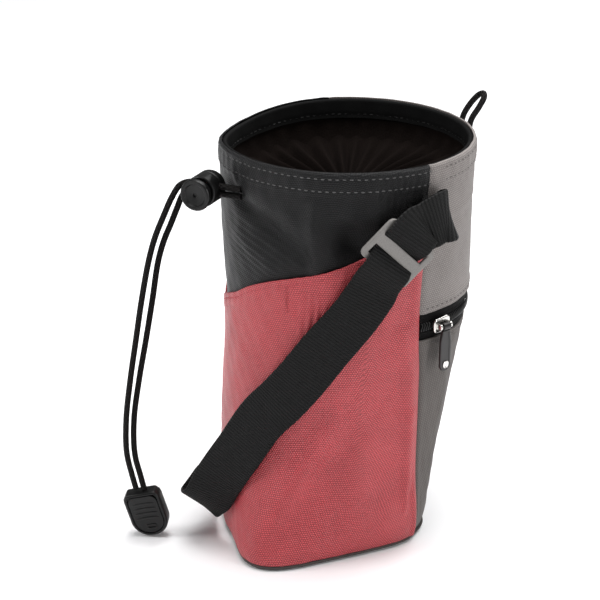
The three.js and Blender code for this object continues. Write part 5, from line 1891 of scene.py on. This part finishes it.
@dataclass
class EndClip:
    """The moulded clip on the cords' ends: a body with a recessed face and a ribbed lid in it."""

    looks: Finishes
    maker: Maker
    width: float = 19.5
    length: float = 26.5
    thickness: float = 7.5
    lid: float = 1.1
    rim: float = 2.0
    gap: float = 0.3
    foot: tuple[float, float, float] = (-13.97, -99.8, 1.5)
    up: tuple[float, float, float] = (-0.02, -0.27, 0.962)
    face_yaw: float = 60.0

    def place(self) -> Array:
        """Frame of the clip: across, up, out of its face, and its foot."""
        up = unit(np.array(self.up))
        yaw = np.radians(self.face_yaw)
        face = np.array([np.sin(yaw), -np.cos(yaw), 0.0])
        face = unit(face - up * float(face @ up))
        return np.stack([np.cross(up, face), up, face, np.array(self.foot)])

    def outline(self, inset: float, top_inset: float) -> Array:
        """Outline of the clip: straight sides, a rounded foot and a chamfered top.

        Args:
            inset: How far it is drawn in at the sides and foot.
            top_inset: How far at the top.

        Returns:
            The points, anticlockwise.
        """
        half, top = self.width / 2.0 - inset, self.length - top_inset
        radius = half * 0.97
        turn = np.linspace(np.pi, 1.5 * np.pi, 14)
        corner = np.array([-half + radius, inset + radius])
        left = corner + radius * np.stack([np.cos(turn), np.sin(turn)], axis=1)
        right = left[::-1] * np.array([-1.0, 1.0])
        shoulder = np.array([[half, top - 4.0], [half - 0.35, top - 2.2], [half - 2.0, top - 0.25],
                             [half - 3.0, top]])
        return np.concatenate([left, right, shoulder, shoulder[::-1] * np.array([-1.0, 1.0])])

    def build(self) -> list[bpy.types.Object]:
        """Makes the clip.

        Returns:
            Its two pieces.
        """
        place = self.place()
        half = self.thickness / 2.0
        recess = self.lid + self.gap
        outline = self.outline(0.0, 0.0)
        layers = rounded_layers(-half, half, 1.3)
        edge = self.rim - self.gap
        floor = [(edge - 0.35, half), (edge, half - 0.3), (edge, half - recess)]
        body = plate(outline, layers + floor, place)
        lid_face = half - 0.25
        lid_layers = rounded_layers(half - recess + self.gap, lid_face, 0.35, 3)
        lid = plate(self.outline(self.rim, self.rim), lid_layers, place)
        ribs = []
        for share in (0.42, 0.53, 0.64, 0.75):
            y = self.length * share
            reach = np.linspace(-1.0, 1.0, 21)
            wide = (self.width / 2.0 - self.rim - 1.4) * reach
            bow = y + 0.35 * (1.0 - reach**2)
            line = place[3] + wide[:, None] * place[0] + bow[:, None] * place[1] + lid_face * place[2]
            size = 0.62 * np.sqrt(np.clip(1.0 - reach**8, 0.05, 1.0))
            ring = round_ring(10) * np.array([1.0, 0.75]) * size[:, None, None]
            ribs.append(swept(carried(line, ring, place[1], place[2])))
        slot_place = place.copy()
        slot_place[3] = place[3] + 0.6 * place[0] + (self.rim + 4.0) * place[1]
        rim = rounded_box(5.4, 2.9, 0.7)
        slot = plate(rim, [(0.0, lid_face - 0.2), (0.0, lid_face + 0.25), (0.25, lid_face + 0.4),
                           (0.75, lid_face + 0.4), (0.8, lid_face - 0.35)], slot_place)
        looks, make = self.looks, self.maker.piece
        body_piece = make("clip_body", body, looks.plastic, slot=Slot.BLACK_PLASTIC,
                          stands_for=("cord_end_body",), crisp=CRISP)
        lid_piece = make("clip_lid", Form.together([lid, slot, *ribs]), looks.plastic,
                         slot=Slot.BLACK_PLASTIC, stands_for=("cord_end_lid",), crisp=CRISP)
        return [body_piece, lid_piece]


@dataclass
class HangLoop(Assembly):
    """The cord loop at the back of the rim."""

    diameter: float = 3.0
    width: float = 8.5
    rise: float = 11.5
    lean: float = 9.5
    leg: float = 15.0

    def route(self) -> Array:
        """Points of the loop's centre line: two legs down the wall and a crown that leans outwards."""
        form, half, top = self.form, self.width / 2.0, self.form.height
        wall = form.wall(np.array([180.0]), np.array([top]), np.array([form.gap + self.diameter / 2.0]))[0]

        def leg(side: float) -> list[tuple[float, float, float]]:
            """One leg, from its foot up."""
            return [
                (side * half, wall[1], top - self.leg), (side * half, wall[1], top - self.leg * 0.4),
                (side * half, wall[1] + self.lean * 0.1, top),
                (side * half, wall[1] + self.lean * 0.55, top + self.rise * 0.55),
            ]

        crown = [(side * half * 0.62, wall[1] + self.lean * reach, top + self.rise * reach)
                 for side, reach in ((-1.0, 0.9), (0.0, 1.0), (1.0, 0.9))]
        return np.array(leg(-1.0) + crown + leg(1.0)[::-1])

    def build(self) -> None:
        """Makes the loop."""
        line = evenly(spline(self.route(), np.linspace(0.0, 1.0, 900)), 150)
        form = tube(line, round_ring(18, self.diameter / 2.0), np.array([1.0, 0.0, 0.0]))
        self.maker.piece("rim_loop", form, self.looks.cord, slot=Slot.CORD, stands_for=("hang_loop",))


@dataclass
class ZipRunner(Assembly):
    """The zip's slider on its tape, and the pull that hangs from its bar."""

    height: float = 127.0
    ridge: float = 1.0
    angle: float = 112.0
    length: float = 10.5
    width: float = 8.0
    thickness: float = 1.8
    bar_radius: float = 0.85
    knuckle_radius: float = 1.9
    knuckle_length: float = 4.6
    clearance: float = 0.35
    foot_width: float = 1.3
    pull_length: float = 23.5
    pull_width: float = 7.0
    pull_thickness: float = 1.7

    def place(self) -> Array:
        """Frame of the slider: along the tape, up, out of the wall, and its seat."""
        angle, z = np.array([self.angle]), np.array([self.height])
        seat = self.form.wall(angle, z, np.array([self.ridge + self.form.gap]))[0]
        out, up = self.form.level(angle, z)[0], np.array([0.0, 0.0, 1.0])
        return np.stack([np.cross(up, out), up, out, seat])

    def rod(self, place: Array, radius: float, length: float, height: float, sides: int = 24) -> Form:
        """A rod along the tape at a height over the slider's seat, its ends rounded."""
        half = length / 2.0
        soft = min(0.3, radius * 0.4)
        profile = [(radius - soft, -half), (radius, -half + soft), (radius, half - soft),
                   (radius - soft, half)]
        return turned(profile, place[3] + height * place[2], place[0], sides)

    def slider(self, place: Array) -> Form:
        """The slider: a waisted plate over the teeth, with two ears and a bar between them."""
        bar = self.thickness + self.knuckle_radius + self.clearance
        outline = rounded_box(self.length, self.width, 2.4, 8)
        waist = 1.0 - 0.12 * bell(outline[:, 0], -self.length * 0.18, 2.2)
        outline = outline * np.stack([np.ones(len(outline)), waist], axis=1)
        body = plate(outline, rounded_layers(0.0, self.thickness, 0.6), place)
        foot_place = self.knuckle_length / 2.0 + self.form.gap + self.foot_width / 2.0
        ear_height = bar + self.bar_radius + 0.2
        ear_layers = rounded_layers(-self.foot_width / 2.0, self.foot_width / 2.0, 0.3, 3)
        ears = []
        for side in (-1.0, 1.0):
            ear_place = np.stack([place[1], place[2], place[0], place[3] + side * foot_place * place[0]])
            ear = rounded_box(3.0, ear_height, 1.3, 6) + np.array([0.0, ear_height / 2.0])
            ears.append(plate(ear, ear_layers, ear_place))
        return Form.together([body, *ears, self.rod(place, self.bar_radius, 2.0 * foot_place, bar)])

    def pull(self, place: Array) -> tuple[Form, Form]:
        """The pull: a leaf with a rounded foot and a raised edge, and the knuckle round the bar.

        Returns:
            The leaf with its knuckle, and the bright inset at its foot.
        """
        bar = self.thickness + self.knuckle_radius + self.clearance
        length, width, half = self.pull_length, self.pull_width, self.pull_thickness / 2.0
        down = place.copy()
        down[3] = place[3] + bar * place[2]
        top, foot = -self.knuckle_radius - 0.15, -length - width * 0.5 + 3.4
        turn = np.linspace(0.0, np.pi, 17)
        r = width / 2.0
        bowl = np.stack([-r * np.cos(turn), foot + r - r * np.sin(turn)], axis=1)
        neck = np.array([[r, top - 6.0], [r * 0.86, top - 3.0], [r * 0.66, top], [-r * 0.66, top],
                         [-r * 0.86, top - 3.0], [-r, top - 6.0]])
        outline = np.concatenate([bowl, neck])
        leaf = plate(outline, rounded_layers(-half, half, 0.45) + [(1.1, half), (1.35, half - 0.35)], down)
        knuckle = self.knuckle_ring(down)
        inset_centre = down[3] + (foot + r) * down[1]
        inset = turned([(0.5, half - 0.4), (1.7, half - 0.4), (1.9, half - 0.2), (1.9, half + 0.1),
                        (1.6, half + 0.2), (1.2, half), (0.4, half - 0.05)], inset_centre, down[2], 32)
        return Form.together([leaf, knuckle]), inset

    def knuckle_ring(self, down: Array) -> Form:
        """The knuckle: a tube round the bar, with its bore left open."""
        half = self.knuckle_length / 2.0
        bore, outer = self.bar_radius + self.clearance, self.knuckle_radius
        profile = np.array([(bore, -half), (outer - 0.3, -half), (outer, -half + 0.3), (outer, half - 0.3),
                            (outer - 0.3, half), (bore, half)])
        circle = round_ring(32)
        spokes = circle[:, :1] * down[1] + circle[:, 1:] * down[2]
        rings = down[3] + profile[None, :, 1, None] * down[0] + profile[None, :, 0, None] * spokes[:, None]
        return swept(rings, np.zeros((33, 7, 2)), closed=True)

    def build(self) -> None:
        """Makes the slider and the pull."""
        place = self.place()
        leaf, inset = self.pull(place)
        make, looks = self.maker.piece, self.looks
        make("zip_runner", self.slider(place), looks.nickel, slot=Slot.ZIP_METAL,
             stands_for=("zipper_slider",), crisp=CRISP)
        make("zip_pull_leaf", leaf, looks.gunmetal, Body.PULL, Slot.ZIP_METAL, ("zipper_pull",), crisp=CRISP)
        make("zip_pull_inset", inset, looks.nickel, Body.PULL, Slot.ZIP_METAL, crisp=CRISP)


# ---- studio ----


@dataclass
class Studio:
    """The white studio: floor, soft lights and the camera at the photograph's view."""

    azimuth: float = 68.0
    pitch: float = 23.017
    distance: float = 0.930
    target: tuple[float, float, float] = (-0.044708, -0.00655, 0.105)
    focal_pixels: float = 1757.46
    frame_pixels: float = 600.0
    sensor: float = 36.0
    world_light: float = 0.24
    floor_reach: float = 3.0

    def camera(self) -> None:
        """Places the camera: back along its view from the target, level, with the fitted lens."""
        az, pitch = np.radians(self.azimuth), np.radians(self.pitch)
        back = np.array([np.sin(az) * np.cos(pitch), -np.cos(az) * np.cos(pitch), np.sin(pitch)])
        data = bpy.data.cameras.new("photo_camera")
        data.sensor_width = self.sensor
        data.lens = self.focal_pixels / self.frame_pixels * self.sensor
        data.clip_start, data.clip_end = 0.02, 50.0
        obj = bpy.data.objects.new("photo_camera", data)
        obj.location = tuple(np.array(self.target) + back * self.distance)
        obj.rotation_euler = (np.pi / 2.0 - pitch, 0.0, az)
        bpy.context.scene.collection.objects.link(obj)
        bpy.context.scene.camera = obj
        LOG.info("camera lens %.2f mm", data.lens)

    def light(self, name: str, place: Sequence[float], size: Sequence[float], power: float,
              aim: Sequence[float]) -> None:
        """One soft rectangular light.

        Args:
            name: Its name.
            place: Its centre in metres.
            size: Its width and height in metres.
            power: Its power in watts.
            aim: The point that it faces.
        """
        data = bpy.data.lights.new(name, "AREA")
        data.shape = "RECTANGLE"
        data.size, data.size_y = size
        data.energy = power
        obj = bpy.data.objects.new(name, data)
        obj.location = place
        away = unit(np.array(place) - np.array(aim))
        yaw = np.arctan2(away[0], -away[1])
        obj.rotation_euler = (float(np.arccos(away[2])), 0.0, float(yaw))
        bpy.context.scene.collection.objects.link(obj)

    def build(self) -> None:
        """Makes the floor, the world and the lights."""
        scene = bpy.context.scene
        scene.view_settings.view_transform = "Standard"
        world = bpy.data.worlds.new("studio_white")
        world.use_nodes = True
        background = world.node_tree.nodes["Background"]
        background.inputs[0].default_value = (1.0, 1.0, 1.0, 1.0)
        background.inputs[1].default_value = self.world_light
        scene.world = world
        mesh = bpy.data.meshes.new("studio_floor")
        far = self.floor_reach
        mesh.from_pydata([(-far, -far, 0), (far, -far, 0), (far, far, 0), (-far, far, 0)], [], [(0, 1, 2, 3)])
        graph = Graph("floor_white")
        graph.finish(shade(246, 246, 247), 0.9)
        mesh.materials.append(graph.material)
        floor = bpy.data.objects.new("studio_floor", mesh)
        scene.collection.objects.link(floor)
        middle = (0.0, 0.0, 0.1)
        self.light("overhead", (0.0, 0.1, 1.6), (1.0, 1.0), 30.0, middle)
        self.light("front_left", (-0.3, -1.5, 0.9), (0.45, 0.9), 13.0, middle)
        self.light("right_strip", (1.4, 0.9, 0.6), (0.25, 1.0), 9.0, middle)
        self.light("floor_wash", (-0.6, 1.3, 1.2), (1.4, 0.8), 14.0, (-0.4, 0.2, 0.0))


def main() -> None:
    """Builds the bag in order: camera and cords first, then cloth, strap and small parts."""
    logging.basicConfig(level=logging.INFO, format="%(name)s: %(message)s")
    studio = Studio()
    studio.camera()
    looks, maker, form = Finishes(), Maker(), BagForm()
    Drawcord(looks, maker).build()
    Shell(form, looks, maker).build()
    Mouth(form, looks, maker).build()
    StrapLoop(form, looks, maker).build()
    HangLoop(form, looks, maker).build()
    ZipRunner(form, looks, maker).build()
    studio.build()
    LOG.info("made %d pieces", len(maker.made))


if __name__ == "__main__":
    main()
